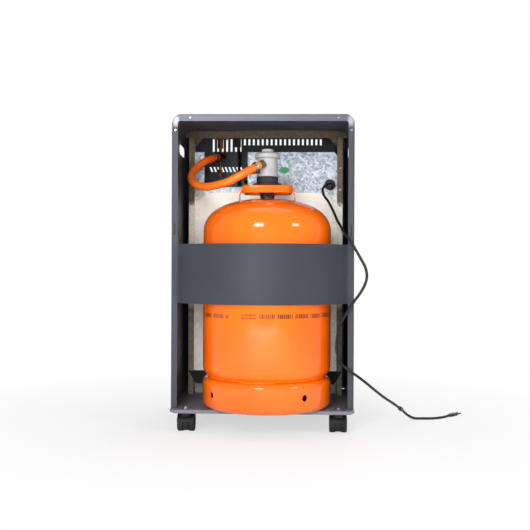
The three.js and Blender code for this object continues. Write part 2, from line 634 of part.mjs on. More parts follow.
function controlKnob() {
  const { x, y } = inlet;
  const seat = cabinetTop + knob.standoff;
  const top = seat + knob.height;
  const tip = top - knob.wall;
  const root = gasValveTop - gasValve.boreDepth + spindle.travel + fit;
  add('valve_spindle', turned([
    [0, root], [spindle.radius, root], [spindle.radius, tip - fit], [0, tip - fit]], x, y, 12), 'brass');
  const crown = knob.radius - knob.taper;
  const skirt = turned([
    [spindle.radius + fit, seat], [knob.radius, seat], [knob.radius, seat + knob.skirt],
    [crown + 2.5, seat + knob.skirt + 1], [crown + 1.5, top - 1.5], [crown, top], [0, top], [0, tip],
    [spindle.radius + fit, tip], [spindle.radius + fit, seat]], x, y, 28);
  const rib = block(x - knob.ribWidth / 2, y - crown, top - 1, x + knob.ribWidth / 2, y + crown, top + knob.ribHeight);
  add('control_knob', join(skirt, rib), 'blackPlastic');
}

function igniterUnit() {
  const { x, y, radius, length, buttonRadius, buttonHeight, travel, rim, rimHeight, buttonGuide } = igniter;
  const seat = cabinetTop + fit;
  const bore = buttonRadius + fit;
  const floor = seat - travel - buttonGuide;
  add('piezo_igniter', turned([
    [0, cabinetTop - length], [radius, cabinetTop - length], [radius, seat], [rim, seat], [rim, seat + rimHeight],
    [bore, seat + rimHeight], [bore, floor], [0, floor]], x, y, 16), 'blackPlastic');
  const low = floor + travel + fit;
  add('igniter_button', turned([
    [0, low], [buttonRadius, low], [buttonRadius, seat + buttonHeight - 1],
    [buttonRadius - 1, seat + buttonHeight], [0, seat + buttonHeight]], x, y, 16), 'blackPlastic');
}

function blowerSwitch() {
  const { x, y, width, length, rim, rimHeight, depth, wall, wellDepth, tilt } = rocker;
  const seat = cabinetTop + fit;
  const [halfX, halfY] = [width / 2, length / 2];
  const body = join(
    block(x - halfX, y - halfY, seat - depth, x + halfX, y + halfY, seat + rimHeight / 2),
    block(x - halfX - rim, y - halfY - rim, seat, x + halfX + rim, y + halfY + rim, seat + rimHeight));
  const well = block(
    x - halfX + wall, y - halfY + wall, seat - wellDepth, x + halfX - wall, y + halfY - wall, seat + spill);
  add('switch_body', cut(body, well), 'blackPlastic');
  const reach = halfY - rocker.paddleInset;
  const top = rocker.paddleRise;
  const under = top - rocker.paddleThickness;
  const outline = polygon([
    [-reach, under], [0, -rocker.paddleRoot], [reach, under], [reach, top], [0, top - 0.5], [-reach, top]]);
  const paddleHalf = halfX - wall - rocker.paddleGap;
  const paddle = prism(outline, 'x', x - paddleHalf, 2 * paddleHalf);
  paddle.rotateX(THREE.MathUtils.degToRad(tilt));
  add('switch_rocker', paddle.translate(0, y, seat + rocker.pivotRise), 'blackPlastic');
}

function blowerUnit() {
  const b = blower;
  const along = (from, to, radius, sides) => rod([from, b.axisY, b.axisZ], [to, b.axisY, b.axisZ], radius, sides);
  const shell = block(b.left, behindShield, b.bottom, b.right, b.front, b.top);
  const hollow = block(
    b.left + sheet, behindShield + sheet, b.bottom + sheet, b.right - sheet, b.front + spill, b.top - sheet);
  const axleHole = along(b.left - spill, b.right + spill, b.axleRadius + fit);
  const intake = block(
    b.drumLeft, b.axisY - b.intakeHalf, b.bottom - spill, b.drumRight, b.axisY + b.intakeHalf, b.bottom + spill);
  add('blower_housing', cut(shell, hollow, axleHole, intake), 'darkSheet');

  const discs = [b.drumLeft, (b.drumLeft + b.drumRight - b.discThickness) / 2, b.drumRight - b.discThickness];
  const axle = along(b.left - b.axleEnd, b.right + b.axleEnd, b.axleRadius, 8);
  const pieces = [axle, ...discs.map((x) => along(x, x + b.discThickness, b.drumRadius, 12))];
  for (let i = 0; i < b.blades; i += 1) {
    const blade = block(
      b.drumLeft + 0.5, -b.bladeThickness / 2, b.drumRadius - b.bladeDepth,
      b.drumRight - 0.5, b.bladeThickness / 2, b.drumRadius - 0.5);
    blade.rotateX(i / b.blades * Math.PI * 2);
    pieces.push(blade.translate(0, b.axisY, b.axisZ));
  }
  add('blower_rotor', join(...pieces), 'darkSheet');

  const start = b.right + fit;
  const can = along(start, start + b.motorLength, b.motorRadius, 16);
  const bore = along(start - spill, start + b.axleEnd + spill, b.axleRadius + fit);
  add('blower_motor', cut(can, bore), 'zinc');
}

// ---------------------------------------------------------------- casters
function casterPlaces() {
  return [
    { tag: 'rear_left', x: -caster.x, y: caster.rearY }, { tag: 'rear_right', x: caster.x, y: caster.rearY },
    { tag: 'front_left', x: -caster.x, y: casterFrontY }, { tag: 'front_right', x: caster.x, y: casterFrontY },
  ];
}

function casters() {
  const c = caster;
  const roof = c.wheelRadius + c.hoodGap;
  const halfHub = c.hubWidth / 2;
  const halfSpan = halfHub + fit + c.wheelWidth;
  const stemBottom = plateBottom - c.stemDrop;
  const nutTop = plateTop + fit + c.nutHeight;
  for (const { tag, x, y } of casterPlaces()) {
    const wheelY = y + c.trail;
    add(`caster_stem_${tag}`, turned([
      [0, stemBottom], [c.stemRadius, stemBottom], [c.stemRadius, plateTop + fit], [c.nutRadius, plateTop + fit],
      [c.nutRadius, nutTop - 2.5], [c.nutRadius * 0.6, nutTop - 0.5], [0, nutTop]], x, y, 10), 'chrome');

    const along = (from, to, radius, sides) => rod(
      [x + from, wheelY, c.wheelRadius], [x + to, wheelY, c.wheelRadius], radius, sides);
    const web = along(-halfHub, halfHub, c.wheelRadius - 1.5, 16);
    const cap = cut(
      along(-halfSpan, halfSpan, roof + c.hoodWall, 18), along(-halfSpan - spill, halfSpan + spill, roof, 18),
      block(x - 2 * halfSpan, wheelY - 2 * roof, -spill, x + 2 * halfSpan, wheelY + 2 * roof, c.wheelRadius + c.hoodSkirt));
    const neck = block(x - halfHub, wheelY - c.trail, c.wheelRadius, x + halfHub, wheelY + c.trail, roof + c.wheelRadius);
    const collar = rod([x, y, roof + c.wheelRadius - 3], [x, y, plateBottom - fit], c.collarRadius, 12);
    const bore = rod([x, y, stemBottom - 1], [x, y, plateBottom + spill], c.stemRadius + fit, 10);
    const axleHole = along(-c.hubWidth, c.hubWidth, c.axleRadius + fit, 8);
    const wheelRoom = [-1, 1].map((side) => along(side * halfHub, side * (halfSpan + 1), roof, 18));
    add(`caster_hood_${tag}`, cut(join(web, cap, neck, collar), bore, axleHole, ...wheelRoom), 'blackPlastic');

    const wheel = turned([
      [0, halfHub + fit], [c.wheelRadius, halfHub + fit], [c.wheelRadius, halfSpan - 3],
      [c.wheelRadius - 2.5, halfSpan], [0, halfSpan]], 0, 0, 20);
    const wheels = [-1, 1].map((side) => wheel.clone().rotateY(side * Math.PI / 2).translate(x, wheelY, c.wheelRadius));
    const axle = along(-halfSpan + 2, halfSpan - 2, c.axleRadius, 8);
    add(`caster_wheels_${tag}`, join(...wheels, axle), 'blackPlastic');
  }
}

// ---------------------------------------------------------------- restraint band
function restraintBand() {
  const { half, tab, bottom, height, bulge, corner } = band;
  const face = -fit - sheet;                              // outer face of the flat end tabs
  const chord = half - tab;
  const rise = bulge + face;
  const radius = (chord * chord + rise * rise) / (2 * rise);
  const centre = face - rise + radius;
  const spread = Math.asin(chord / radius);
  const arc = (r) => Array.from({ length: band.steps + 1 }, (_, i) => {
    const angle = -spread + 2 * spread * i / band.steps;
    return [r * Math.sin(angle), centre - r * Math.cos(angle)];
  });
  const outline = polygon([
    [-half, -fit], [-half, face], ...arc(radius), [half, face], [half, -fit],
    ...arc(radius - sheet).reverse().filter(([, y]) => y < -fit),
  ]);
  const strip = prism(outline, 'z', bottom, height);
  const frame = prism(roundedRectangle(-half, bottom, half, bottom + height, corner), 'y', -bulge - spill, bulge + 2 * spill);
  const hooks = [-1, 1].flatMap((side) => hook.z.map((z) => {
    const x = side * hook.x;
    const profile = polygon([
      [-fit - sheet, z], [sheet + fit, z], [sheet + fit, z - hook.drop], [sheet + hook.reach, z - hook.drop + 2],
      [sheet + hook.reach, z + hook.height], [-fit - sheet, z + hook.height],
    ]);
    return prism(profile, 'x', x - sheet / 2, sheet);
  }));
  add('restraint_band', join(common(strip, frame), ...hooks), 'bandPaint');
}

// ---------------------------------------------------------------- gas bottle
// the dome's height over its shoulder at a share of the quarter turn: a torispherical head is
// flatter on top and tighter at the shoulder than a half ellipse
function domePoint(angle, inset = 0) {
  const power = 0.8;
  const height = bottle.domeTop - bottle.shoulder - inset;
  return [(bottle.radius - inset) * Math.cos(angle) ** power, bottle.shoulder + height * Math.sin(angle) ** power];
}

function domeProfile(steps, inset) {
  const neck = valve.radius - valve.neckStep;
  const points = Array.from({ length: steps }, (_, i) => domePoint(Math.PI / 2 * (i + 1) / steps, inset));
  return points.filter(([radius]) => radius > neck);
}

function gasBottle() {
  const b = bottle;
  const neck = valve.radius - valve.neckStep;
  const bend = 40;                                    // radius of the shell's lower bend
  const shellProfile = (inset, steps) => [
    ...arcPoints(b.radius - inset - bend, b.waist + bend + 2, bend - inset * 0.2, -75, 0, 3),
    ...domeProfile(steps, inset),
  ];
  const floor = b.waist - 2;
  add('bottle_shell', turned([
    [0, floor], ...shellProfile(0, domeSteps), [neck, b.domeTop], [neck, b.domeTop - b.wall],
    ...shellProfile(b.wall, 4).reverse(), [0, floor + b.wall]], b.x, b.y, roundSides), 'orangePaint');

  const f = footRing;
  const low = b.base;
  const high = b.waist - 1;
  const ringProfile = (inset) => [
    [f.bottomRadius - f.bendRadius, low + inset],
    ...arcPoints(f.bulge - f.bendRadius - 1, low + f.bendRadius, f.bendRadius - inset, -80, 0, 2),
    ...arcPoints(f.bulge - f.bendRadius, high - f.bendRadius, f.bendRadius - inset, 0, 70, 2),
  ];
  const ring = turned([
    ...ringProfile(0), [f.waistRadius, high - 0.5], ...ringProfile(f.wall).reverse(), ringProfile(0)[0],
  ], b.x, b.y, roundSides);
  const vents = [36, 126, 216, 306].map((degrees) => {
    const angle = THREE.MathUtils.degToRad(degrees);
    const [dx, dy] = [Math.sin(angle), -Math.cos(angle)];
    const z = (low + high) / 2 + 1;
    const [near, far] = [f.bulge - 2 * f.bendRadius, f.bulge + f.bendRadius];
    return rod([b.x + dx * near, b.y + dy * near, z], [b.x + dx * far, b.y + dy * far, z], f.vent, 10);
  });
  add('foot_ring', cut(ring, ...vents), 'orangePaint');
}

function bottleHandle() {
  const { halfX, halfY, top, height, thickness, corner, legWidth, legThickness, legSplay } = handle;
  const { x, y } = bottle;
  const ringShape = (inset) => roundedRectangle(
    x - halfX + inset, y - halfY + inset, x + halfX - inset, y + halfY - inset, corner - inset);
  const ring = cut(
    prism(ringShape(0), 'z', top - height, height),
    prism(ringShape(thickness), 'z', top - height - spill, height + 2 * spill));
  const legs = [-1, 1].map((side) => {
    const outer = side * halfX;
    const foot = side * (halfX + legSplay);
    const low = bottle.shoulder;
    const shape = polygon([
      [x + outer, top - 2], [x + outer - side * legThickness, top - 2],
      [x + foot - side * legThickness, top - 2 * height], [x + foot - side * legThickness, low],
      [x + foot, low], [x + foot, top - 2 * height],
    ]);
    return prism(shape, 'y', y - legWidth / 2, legWidth);
  });
  const dome = turned([
    [0, bottle.waist], [bottle.radius + fit, bottle.waist], ...domeProfile(domeSteps, -fit),
    [0, bottle.domeTop + fit]], x, y, roundSides);
  add('bottle_handle', cut(join(ring, ...legs), dome), 'orangePaint');
}

function bottleValve() {
  const { radius, seat, height, ribs, ribPitch, stemStep, depth } = valve;
  const { x, y, domeTop } = bottle;
  const foot = domeTop + fit;
  const root = radius - 2;
  const profile = [[0, domeTop - depth], [radius - stemStep, domeTop - depth], [radius - stemStep, foot], [root, foot]];
  for (let i = 0; i < ribs; i += 1) {
    const z = seat + 2 + i * ribPitch;
    profile.push([root, z], [radius, z + 0.2 * ribPitch], [radius, z + 0.6 * ribPitch], [root, z + 0.8 * ribPitch]);
  }
  profile.push([root - 1, seat + (ribs + 1) * ribPitch], [root - 1, seat + height], [0, seat + height]);
  add('bottle_valve', turned(profile, x, y, 14), 'brass');
}

// ---------------------------------------------------------------- regulator and hose
function regulatorUnit() {
  const r = regulator;
  const { x, y } = bottle;
  const flangeTop = regulatorBase + r.flangeHeight;
  const baseTop = flangeTop + r.baseHeight;
  add('regulator_base', turned([
    [0, regulatorBase], [r.flangeRadius, regulatorBase], [r.flangeRadius, flangeTop], [r.baseRadius, flangeTop + 1],
    [r.baseRadius, baseTop], [0, baseTop]], x, y, 24), 'blackPlastic');
  const capTop = r.capBottom + r.capHeight;
  const body = turned([
    [0, baseTop + fit], [r.bodyRadius, baseTop + fit], [r.bodyRadius, r.capBottom], [r.capRadius, r.capBottom + 2],
    [r.capRadius, r.capBottom + 9], [r.capRadius - 5, capTop - 3], [r.knobRadius + 4, capTop],
    [r.knobRadius, capTop], [r.knobRadius, capTop + r.knobHeight - 2], [r.knobRadius - 2, capTop + r.knobHeight],
    [0, capTop + r.knobHeight]], x, y, 24);
  const pivotX = x + lever.offset;
  const pin = rod([pivotX, leverPlaneY, lever.pivotZ], [pivotX, y, lever.pivotZ], lever.pinRadius);
  add('regulator_body', join(body, pin), 'castGrey');

  const route = smoothCurve(hoseRoute);
  const start = route.getPoint(0);
  const away = route.getTangent(0);
  const seatPoint = start.clone().addScaledVector(away, -hoseSeat);
  const stub = rod(seatPoint.clone().addScaledVector(away, -outlet.length).toArray(), seatPoint.toArray(), outlet.radius, 6);
  const bodySkin = turned([
    [0, baseTop - 5], [r.bodyRadius + fit, baseTop - 5], [r.bodyRadius + fit, r.capBottom + 1],
    [r.capRadius + fit, r.capBottom + 1], [r.capRadius + fit, capTop], [0, capTop]], x, y, 24);
  const neck = rod(
    [x - 3, y - 10, start.z + 2], seatPoint.clone().addScaledVector(away, -outlet.length / 2).toArray(), outlet.stubRadius);
  add('regulator_outlet', cut(join(stub, neck), bodySkin), 'brass');

  const pivot = [pivotX, lever.pivotZ];
  const arm = roundedRectangle(
    pivot[0] - lever.armLength, pivot[1] - lever.width / 2, pivot[0] + lever.width / 2, pivot[1] + lever.width / 2,
    lever.width / 2 - 0.3);
  add('regulator_lever', prism(arm, 'y', leverPlaneY - fit - lever.thickness, lever.thickness), 'blackPlastic');
}

function gasHose() {
  const route = smoothCurve(hoseRoute);
  add('gas_hose', sweep(route, hoseRadius, hoseSteps, 10), 'hose');
  const share = clamp.fromEnd / route.getLength();
  const ends = [['hose_clamp_regulator', share], ['hose_clamp_inlet', 1 - share]];
  for (const [name, at] of ends) {
    const centre = route.getPointAt(at);
    const along = route.getTangentAt(at);
    const inside = hoseRadius + clamp.clearance;
    const ring = turned([
      [inside, -clamp.width / 2], [inside + clamp.thickness, -clamp.width / 2],
      [inside + clamp.thickness, clamp.width / 2], [inside, clamp.width / 2], [inside, -clamp.width / 2]], 0, 0, 16);
    add(name, aimed(clean(ring), centre, along), 'chrome');
  }
}

// ---------------------------------------------------------------- mains lead
function mainsLead() {
  const route = smoothCurve(cordRoute);
  const face = shieldPlane - fit;
  const nose = cordRoute[0][1] + fit;
  add('cord_gland', aimed(turned([
    [0, 0], [gland.flangeRadius, 0], [gland.flangeRadius, gland.flangeDepth - 2], [gland.flangeRadius - 2, gland.flangeDepth],
    [gland.noseRadius + 2, gland.flangeDepth], [cordRadius + 1.2, face - nose], [0, face - nose]], 0, 0, 20),
  new THREE.Vector3(gland.x, face, gland.z), Y.clone().negate()), 'blackPlastic');
  add('mains_cord', sweep(route, cordRadius, cordSteps, cordSides), 'blackPlastic');

  const station = 1 - tie.fromPlug / route.getLength();
  const centre = route.getPointAt(station);
  const along = route.getTangentAt(station);
  const inside = cordRadius + tie.clearance;
  add('cord_tie', aimed(clean(turned([
    [inside, -tie.length / 2], [tie.radius, -tie.length / 2], [tie.radius, tie.length / 2], [inside, tie.length / 2],
    [inside, -tie.length / 2]], 0, 0, 12)), centre, along), 'blackPlastic');

  const end = route.getPoint(1);
  const out = route.getTangent(1).setZ(0).normalize();
  const half = plug.width / 2;
  const outline = polygon([
    [-plug.neck, 0], [plug.neck, 0], [half, plug.shoulder], [half, plug.length], [-half, plug.length],
    [-half, plug.shoulder],
  ]);
  const body = prism(outline, 'z', -plug.height / 2, plug.height);
  const pins = [-plug.pinPitch / 2, plug.pinPitch / 2].map(
    (x) => rod([x, plug.length - 2, 0], [x, plug.length + plug.pinLength, 0], plug.pinRadius, 8));
  const whole = join(body, ...pins);
  whole.rotateZ(Math.atan2(-out.x, out.y));
  whole.translate(end.x + out.x * fit, end.y + out.y * fit, plug.height / 2);
  add('mains_plug', whole, 'blackPlastic');
}

basePlate();
sidePanel('left_side_panel', -1);
sidePanel('right_side_panel', 1);
topCover();
frontPanel();
innerPosts();
topRail();
lowerCrossRail();
lowerPartition();
heatShield();
insulationBoard();
burnerBox();
burnerPlenum();
reflector();
wireGuard();
pilotBurner();
gasLine();
controlKnob();
igniterUnit();
blowerSwitch();
blowerUnit();
casters();
restraintBand();
gasBottle();
bottleHandle();
bottleValve();
regulatorUnit();
gasHose();
mainsLead();

export default heater;
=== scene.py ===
# %% [markdown]
# A portable gas cabinet heater, seen from its open rear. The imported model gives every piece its
# real place, and this notebook dresses it: finer meshes for the pieces that show their shape, and
# a finish for every surface. Each step first says what the piece is on the real heater.

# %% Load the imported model
from math import asin, atan2, cos, degrees, pi, radians, sin, sqrt, tan

import bmesh
import bpy
from mathutils import Matrix, Vector


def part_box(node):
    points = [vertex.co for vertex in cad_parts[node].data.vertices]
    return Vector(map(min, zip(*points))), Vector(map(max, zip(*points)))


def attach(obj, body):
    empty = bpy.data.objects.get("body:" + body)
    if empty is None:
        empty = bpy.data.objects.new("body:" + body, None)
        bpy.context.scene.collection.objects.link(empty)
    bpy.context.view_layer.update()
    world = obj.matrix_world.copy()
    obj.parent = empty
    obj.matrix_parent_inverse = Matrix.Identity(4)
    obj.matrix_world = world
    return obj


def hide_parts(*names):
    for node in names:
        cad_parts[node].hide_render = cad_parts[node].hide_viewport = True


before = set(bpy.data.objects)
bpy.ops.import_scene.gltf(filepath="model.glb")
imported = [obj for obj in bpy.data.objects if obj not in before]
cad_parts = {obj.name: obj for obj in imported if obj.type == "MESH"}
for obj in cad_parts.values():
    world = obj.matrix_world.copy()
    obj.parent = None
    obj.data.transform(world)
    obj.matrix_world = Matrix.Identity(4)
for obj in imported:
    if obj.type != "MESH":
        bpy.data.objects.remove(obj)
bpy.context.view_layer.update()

# %% [markdown]
# Sheet-metal drawings are in millimetres from the rear flange plane of the cabinet, so the pieces
# are drawn in those units and one matrix takes a finished piece to metres in the model's frame.

# %% The bench frame
REAR_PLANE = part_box("left_side_panel")[0][1]
TO_MODEL = Matrix.Translation((0, REAR_PLANE, 0)) @ Matrix.Scale(0.001, 4)


def bench_box(node):
    low, high = (Vector(corner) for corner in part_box(node))
    shift = Vector((0, REAR_PLANE, 0))
    return (low - shift) * 1000, (high - shift) * 1000


def to_model(point):
    return TO_MODEL @ Vector(point)


print("rear plane at y =", round(REAR_PLANE, 4), "m")

# %% [markdown]
# The camera stands as the photograph's did. A match of the cabinet's corners, the floor line and
# the bottle gave its distance, height and small turn, and a lens of 56 mm on a 36 mm sensor.

# %% Camera
CAMERA_DISTANCE = 1.900
CAMERA_OFFSET = 0.0058
CAMERA_HEIGHT = 0.3843
CAMERA_YAW = radians(1.8)
CAMERA_ROLL = radians(0.25)
camera_data = bpy.data.cameras.new("camera")
camera_data.lens = 56.24
camera_data.sensor_width = 36
camera = bpy.data.objects.new("camera", camera_data)
bpy.context.collection.objects.link(camera)
camera.rotation_euler = (pi / 2, -CAMERA_ROLL, CAMERA_YAW)
camera.location = (
    CAMERA_OFFSET * cos(CAMERA_YAW) + CAMERA_DISTANCE * sin(CAMERA_YAW),
    REAR_PLANE + CAMERA_OFFSET * sin(CAMERA_YAW) - CAMERA_DISTANCE * cos(CAMERA_YAW),
    CAMERA_HEIGHT,
)
bpy.context.scene.camera = camera
bpy.context.scene.view_settings.view_transform = "Standard"
print("camera at", [round(v, 3) for v in camera.location])

# %% [markdown]
# Colours are picked as the sRGB hex values of paint charts, and shaders work in linear light. One
# function turns one into the other, and one small function adds a node with its settings and links.

# %% Material helpers
def colour(code):
    channels = [int(code[i:i + 2], 16) / 255 for i in (1, 3, 5)]
    linear = [c / 12.92 if c <= 0.04045 else ((c + 0.055) / 1.055) ** 2.4 for c in channels]
    return (*linear, 1)


def add_node(tree, kind, settings=None, **links):
    node = tree.nodes.new(kind)
    for key, value in (settings or {}).items():
        if key in node.inputs:
            node.inputs[key].default_value = value
        else:
            setattr(node, key, value)
    for socket, source in links.items():
        tree.links.new(source, node.inputs[socket.replace("_", " ")])
    return node


def calc(tree, operation, first, second=None):
    node = add_node(tree, "ShaderNodeMath", {"operation": operation})
    for socket, value in zip(node.inputs, (first, second)):
        if value is None:
            continue
        if isinstance(value, (int, float)):
            socket.default_value = value
        else:
            tree.links.new(value, socket)
    return node.outputs["Value"]


def new_finish(name, base, roughness, metallic=0.0, **shader):
    finish = bpy.data.materials.new(name)
    finish.use_nodes = True
    bsdf = finish.node_tree.nodes["Principled BSDF"]
    bsdf.inputs["Base Color"].default_value = colour(base)
    bsdf.inputs["Roughness"].default_value = roughness
    bsdf.inputs["Metallic"].default_value = metallic
    for key, value in shader.items():
        bsdf.inputs[key.replace("_", " ")].default_value = value
    return finish, finish.node_tree, bsdf


def object_point(tree):
    return add_node(tree, "ShaderNodeTexCoord").outputs["Object"]


def stops(node, *pairs):
    ramp = node.color_ramp
    while len(ramp.elements) < len(pairs):
        ramp.elements.new(0.5)
    for element, (position, value) in zip(ramp.elements, pairs):
        element.position = position
        element.color = colour(value) if isinstance(value, str) else (value, value, value, 1)
    return node


print("white is", colour("#ffffff")[:3])

# %% [markdown]
# Powder coat is a dry paint baked on sheet steel. It melts into a skin with a faint orange peel,
# a few tenths of a millimetre deep and 2 to 3 mm across. Dust and handling leave it a little
# uneven, so a slow noise shifts both its colour and its gloss.

# %% Powder coat
def powder_coat(name, base, dark, roughness=0.42, metallic=0.25, peel_mm=2.4, peel=0.06):
    finish, tree, bsdf = new_finish(name, base, roughness, metallic)
    place = object_point(tree)
    slow = add_node(tree, "ShaderNodeTexNoise", {"Scale": 9.0, "Detail": 5.0}, Vector=place)
    tint = stops(add_node(tree, "ShaderNodeValToRGB", Fac=slow.outputs["Fac"]), (0.35, dark), (0.62, base))
    tree.links.new(tint.outputs["Color"], bsdf.inputs["Base Color"])
    gloss = add_node(
        tree, "ShaderNodeMapRange", {"To Min": roughness - 0.02, "To Max": roughness + 0.04}, Value=slow.outputs["Fac"])
    tree.links.new(gloss.outputs["Result"], bsdf.inputs["Roughness"])
    skin = add_node(tree, "ShaderNodeTexNoise", {"Scale": 1000 / peel_mm, "Detail": 2.0}, Vector=place)
    bump = add_node(tree, "ShaderNodeBump", {"Strength": peel, "Distance": 0.0004}, Height=skin.outputs["Fac"])
    tree.links.new(bump.outputs["Normal"], bsdf.inputs["Normal"])
    return finish


cabinet_coat = powder_coat("grey_powder_coat", "#43464c", "#3f4248", roughness=0.45)
# The cover is the cabinet's grey coat painted lighter: painted light on the top.
cover_coat = powder_coat("cover_grey_with_painted_light", "#5f626b", "#5b5e67", roughness=0.4, metallic=0.3)
band_coat = powder_coat("slate_powder_coat", "#3d4047", "#393c43", roughness=0.44)
plate_coat = powder_coat("base_plate_powder_coat", "#7b7a84", "#716f79", roughness=0.46)
print("coats:", cabinet_coat.name, cover_coat.name, band_coat.name, plate_coat.name)

# %% [markdown]
# Hot-dip galvanised sheet shows spangle: zinc crystals 6 to 15 mm across that each catch the light
# their own way. A Voronoi pattern gives every crystal a grey and a roughness of its own.

# %% Galvanised sheet
def galvanised(name, light, dark, crystal_mm=5.5, roughness=0.38, metallic=0.75, below=None):
    finish, tree, bsdf = new_finish(name, light, roughness, metallic)
    place = object_point(tree)
    wander = add_node(tree, "ShaderNodeTexNoise", {"Scale": 60.0, "Detail": 3.0}, Vector=place)
    bent = add_node(tree, "ShaderNodeMixRGB", {"Fac": 0.012}, Color1=place, Color2=wander.outputs["Color"])
    crystal = add_node(tree, "ShaderNodeTexVoronoi", {"Scale": 1000 / crystal_mm}, Vector=bent.outputs["Color"])
    grey = add_node(tree, "ShaderNodeSeparateColor", Color=crystal.outputs["Color"])
    tint = stops(add_node(tree, "ShaderNodeValToRGB", Fac=grey.outputs["Red"]), (0.0, dark), (1.0, light))
    skin = tint.outputs["Color"]
    # Below each given height the sheet takes another pair of greys. On the posts these bands are painted light and
    # shade.
    for height, blend, second_light, second_dark in below or ():
        second = stops(
            add_node(tree, "ShaderNodeValToRGB", Fac=grey.outputs["Red"]), (0.0, second_dark), (1.0, second_light))
        axes = add_node(tree, "ShaderNodeSeparateXYZ", Vector=place)
        low = add_node(
            tree, "ShaderNodeMapRange", {"From Min": height, "From Max": height - blend}, Value=axes.outputs["Z"])
        skin = add_node(
            tree, "ShaderNodeMixRGB", Fac=low.outputs["Result"], Color1=skin, Color2=second.outputs["Color"],
        ).outputs["Color"]
    tree.links.new(skin, bsdf.inputs["Base Color"])
    gloss = add_node(
        tree, "ShaderNodeMapRange", {"To Min": roughness - 0.1, "To Max": roughness + 0.14},
        Value=grey.outputs["Green"])
    tree.links.new(gloss.outputs["Result"], bsdf.inputs["Roughness"])
    grain = add_node(tree, "ShaderNodeTexNoise", {"Scale": 900.0, "Detail": 3.0}, Vector=place)
    bump = add_node(tree, "ShaderNodeBump", {"Strength": 0.08, "Distance": 0.0003}, Height=grain.outputs["Fac"])
    tree.links.new(bump.outputs["Normal"], bsdf.inputs["Normal"])
    return finish


zinc_shield = galvanised(
    "spangled_zinc_sheet", "#dbe1e9", "#8693a3", metallic=0.2, below=[(0.58, 0.04, "#fffdf4", "#ece8dc")])
# On the posts: brown painted shade under the cover, near-white painted light in the middle, greenish painted shade low
# down.
zinc_frame = galvanised(
    "zinc_post_painted_light_and_shade", "#776a55", "#5a5041", crystal_mm=4.0, roughness=0.5, metallic=0.2,
    below=[(0.545, 0.012, "#fffcef", "#f0ebdb"), (0.3, 0.03, "#8b8674", "#6f6a5b")])
# The rail's brown is painted shade under the cover.
zinc_rail = galvanised("zinc_rail_painted_shade", "#6e6350", "#564d3e", crystal_mm=4.0, roughness=0.5, metallic=0.2)
zinc_box = galvanised("plain_zinc_sheet", "#b6babc", "#a5aaad", roughness=0.42, metallic=0.6)
print("zinc:", zinc_shield.name, zinc_frame.name)

# %% [markdown]
# Small metals: zinc-plated wire and screws are bright with a soft haze, brass and copper fittings
# are turned or drawn and have dulled. Moulded plastics have the fine grain of a spark-eroded tool.

# %% Small metals and plastics
def worn_metal(name, base, dark, roughness, grain_mm=1.2, bump_strength=0.08):
    finish, tree, bsdf = new_finish(name, base, roughness, 1.0)
    place = object_point(tree)
    dull = add_node(tree, "ShaderNodeTexNoise", {"Scale": 70.0, "Detail": 6.0}, Vector=place)
    tint = stops(add_node(tree, "ShaderNodeValToRGB", Fac=dull.outputs["Fac"]), (0.38, dark), (0.6, base))
    tree.links.new(tint.outputs["Color"], bsdf.inputs["Base Color"])
    gloss = add_node(
        tree, "ShaderNodeMapRange", {"To Min": roughness - 0.06, "To Max": roughness + 0.12},
        Value=dull.outputs["Fac"])
    tree.links.new(gloss.outputs["Result"], bsdf.inputs["Roughness"])
    grain = add_node(tree, "ShaderNodeTexNoise", {"Scale": 1000 / grain_mm, "Detail": 2.0}, Vector=place)
    bump = add_node(
        tree, "ShaderNodeBump", {"Strength": bump_strength, "Distance": 0.0003}, Height=grain.outputs["Fac"])
    tree.links.new(bump.outputs["Normal"], bsdf.inputs["Normal"])
    return finish


def moulded(name, base, light, roughness=0.5, grain_mm=0.9, grain=0.18, coat=0.0):
    finish, tree, bsdf = new_finish(name, base, roughness, 0.0, Coat_Weight=coat)
    place = object_point(tree)
    slow = add_node(tree, "ShaderNodeTexNoise", {"Scale": 45.0, "Detail": 4.0}, Vector=place)
    tint = stops(add_node(tree, "ShaderNodeValToRGB", Fac=slow.outputs["Fac"]), (0.4, base), (0.7, light))
    tree.links.new(tint.outputs["Color"], bsdf.inputs["Base Color"])
    texture = add_node(tree, "ShaderNodeTexNoise", {"Scale": 1000 / grain_mm, "Detail": 2.0}, Vector=place)
    bump = add_node(tree, "ShaderNodeBump", {"Strength": grain, "Distance": 0.0003}, Height=texture.outputs["Fac"])
    tree.links.new(bump.outputs["Normal"], bsdf.inputs["Normal"])
    return finish


plated_steel = worn_metal("bright_zinc_plate", "#d3d6d8", "#b3b7ba", 0.24)
polished_steel = worn_metal("polished_stainless", "#d8dadc", "#c4c8ca", 0.14)
turned_brass = worn_metal("turned_brass", "#b5914f", "#8d6f3a", 0.34)
grey_brass = worn_metal("oxidised_brass", "#8f8a7d", "#6c675b", 0.42)
drawn_copper = worn_metal("drawn_copper", "#b0694a", "#7f4631", 0.36)
motor_can = worn_metal("rolled_motor_can", "#a9adb0", "#8d9194", 0.34)
black_sheet_and_shade = powder_coat("black_sheet_and_painted_shade", "#2e312f", "#232524", roughness=0.6, metallic=0.4)
black_abs = moulded("black_abs", "#1d1e20", "#26272a", 0.42)
black_nylon = moulded("black_nylon", "#0f1011", "#17181a", 0.58)
wheel_nylon = moulded("scuffed_nylon_tread", "#111213", "#202123", 0.62, grain_mm=1.6, grain=0.3)
red_plastic = moulded("red_acetal", "#a3211c", "#b32b22", 0.35)
cord_pvc = moulded("black_pvc_jacket", "#17181a", "#202125", 0.46, grain_mm=2.5, grain=0.12)
fibre_board = moulded("ceramic_fibre_board", "#fbf6ec", "#fffcf5", 0.92, grain_mm=1.8, grain=0.5)
print("finishes so far:", len(bpy.data.materials))

# %% [markdown]
# New pieces are drawn on an empty bmesh and put in place by one function: it moves the mesh to the
# model's frame, smooths it up to an angle, hides the plain node it stands for and says which body
# carries it.

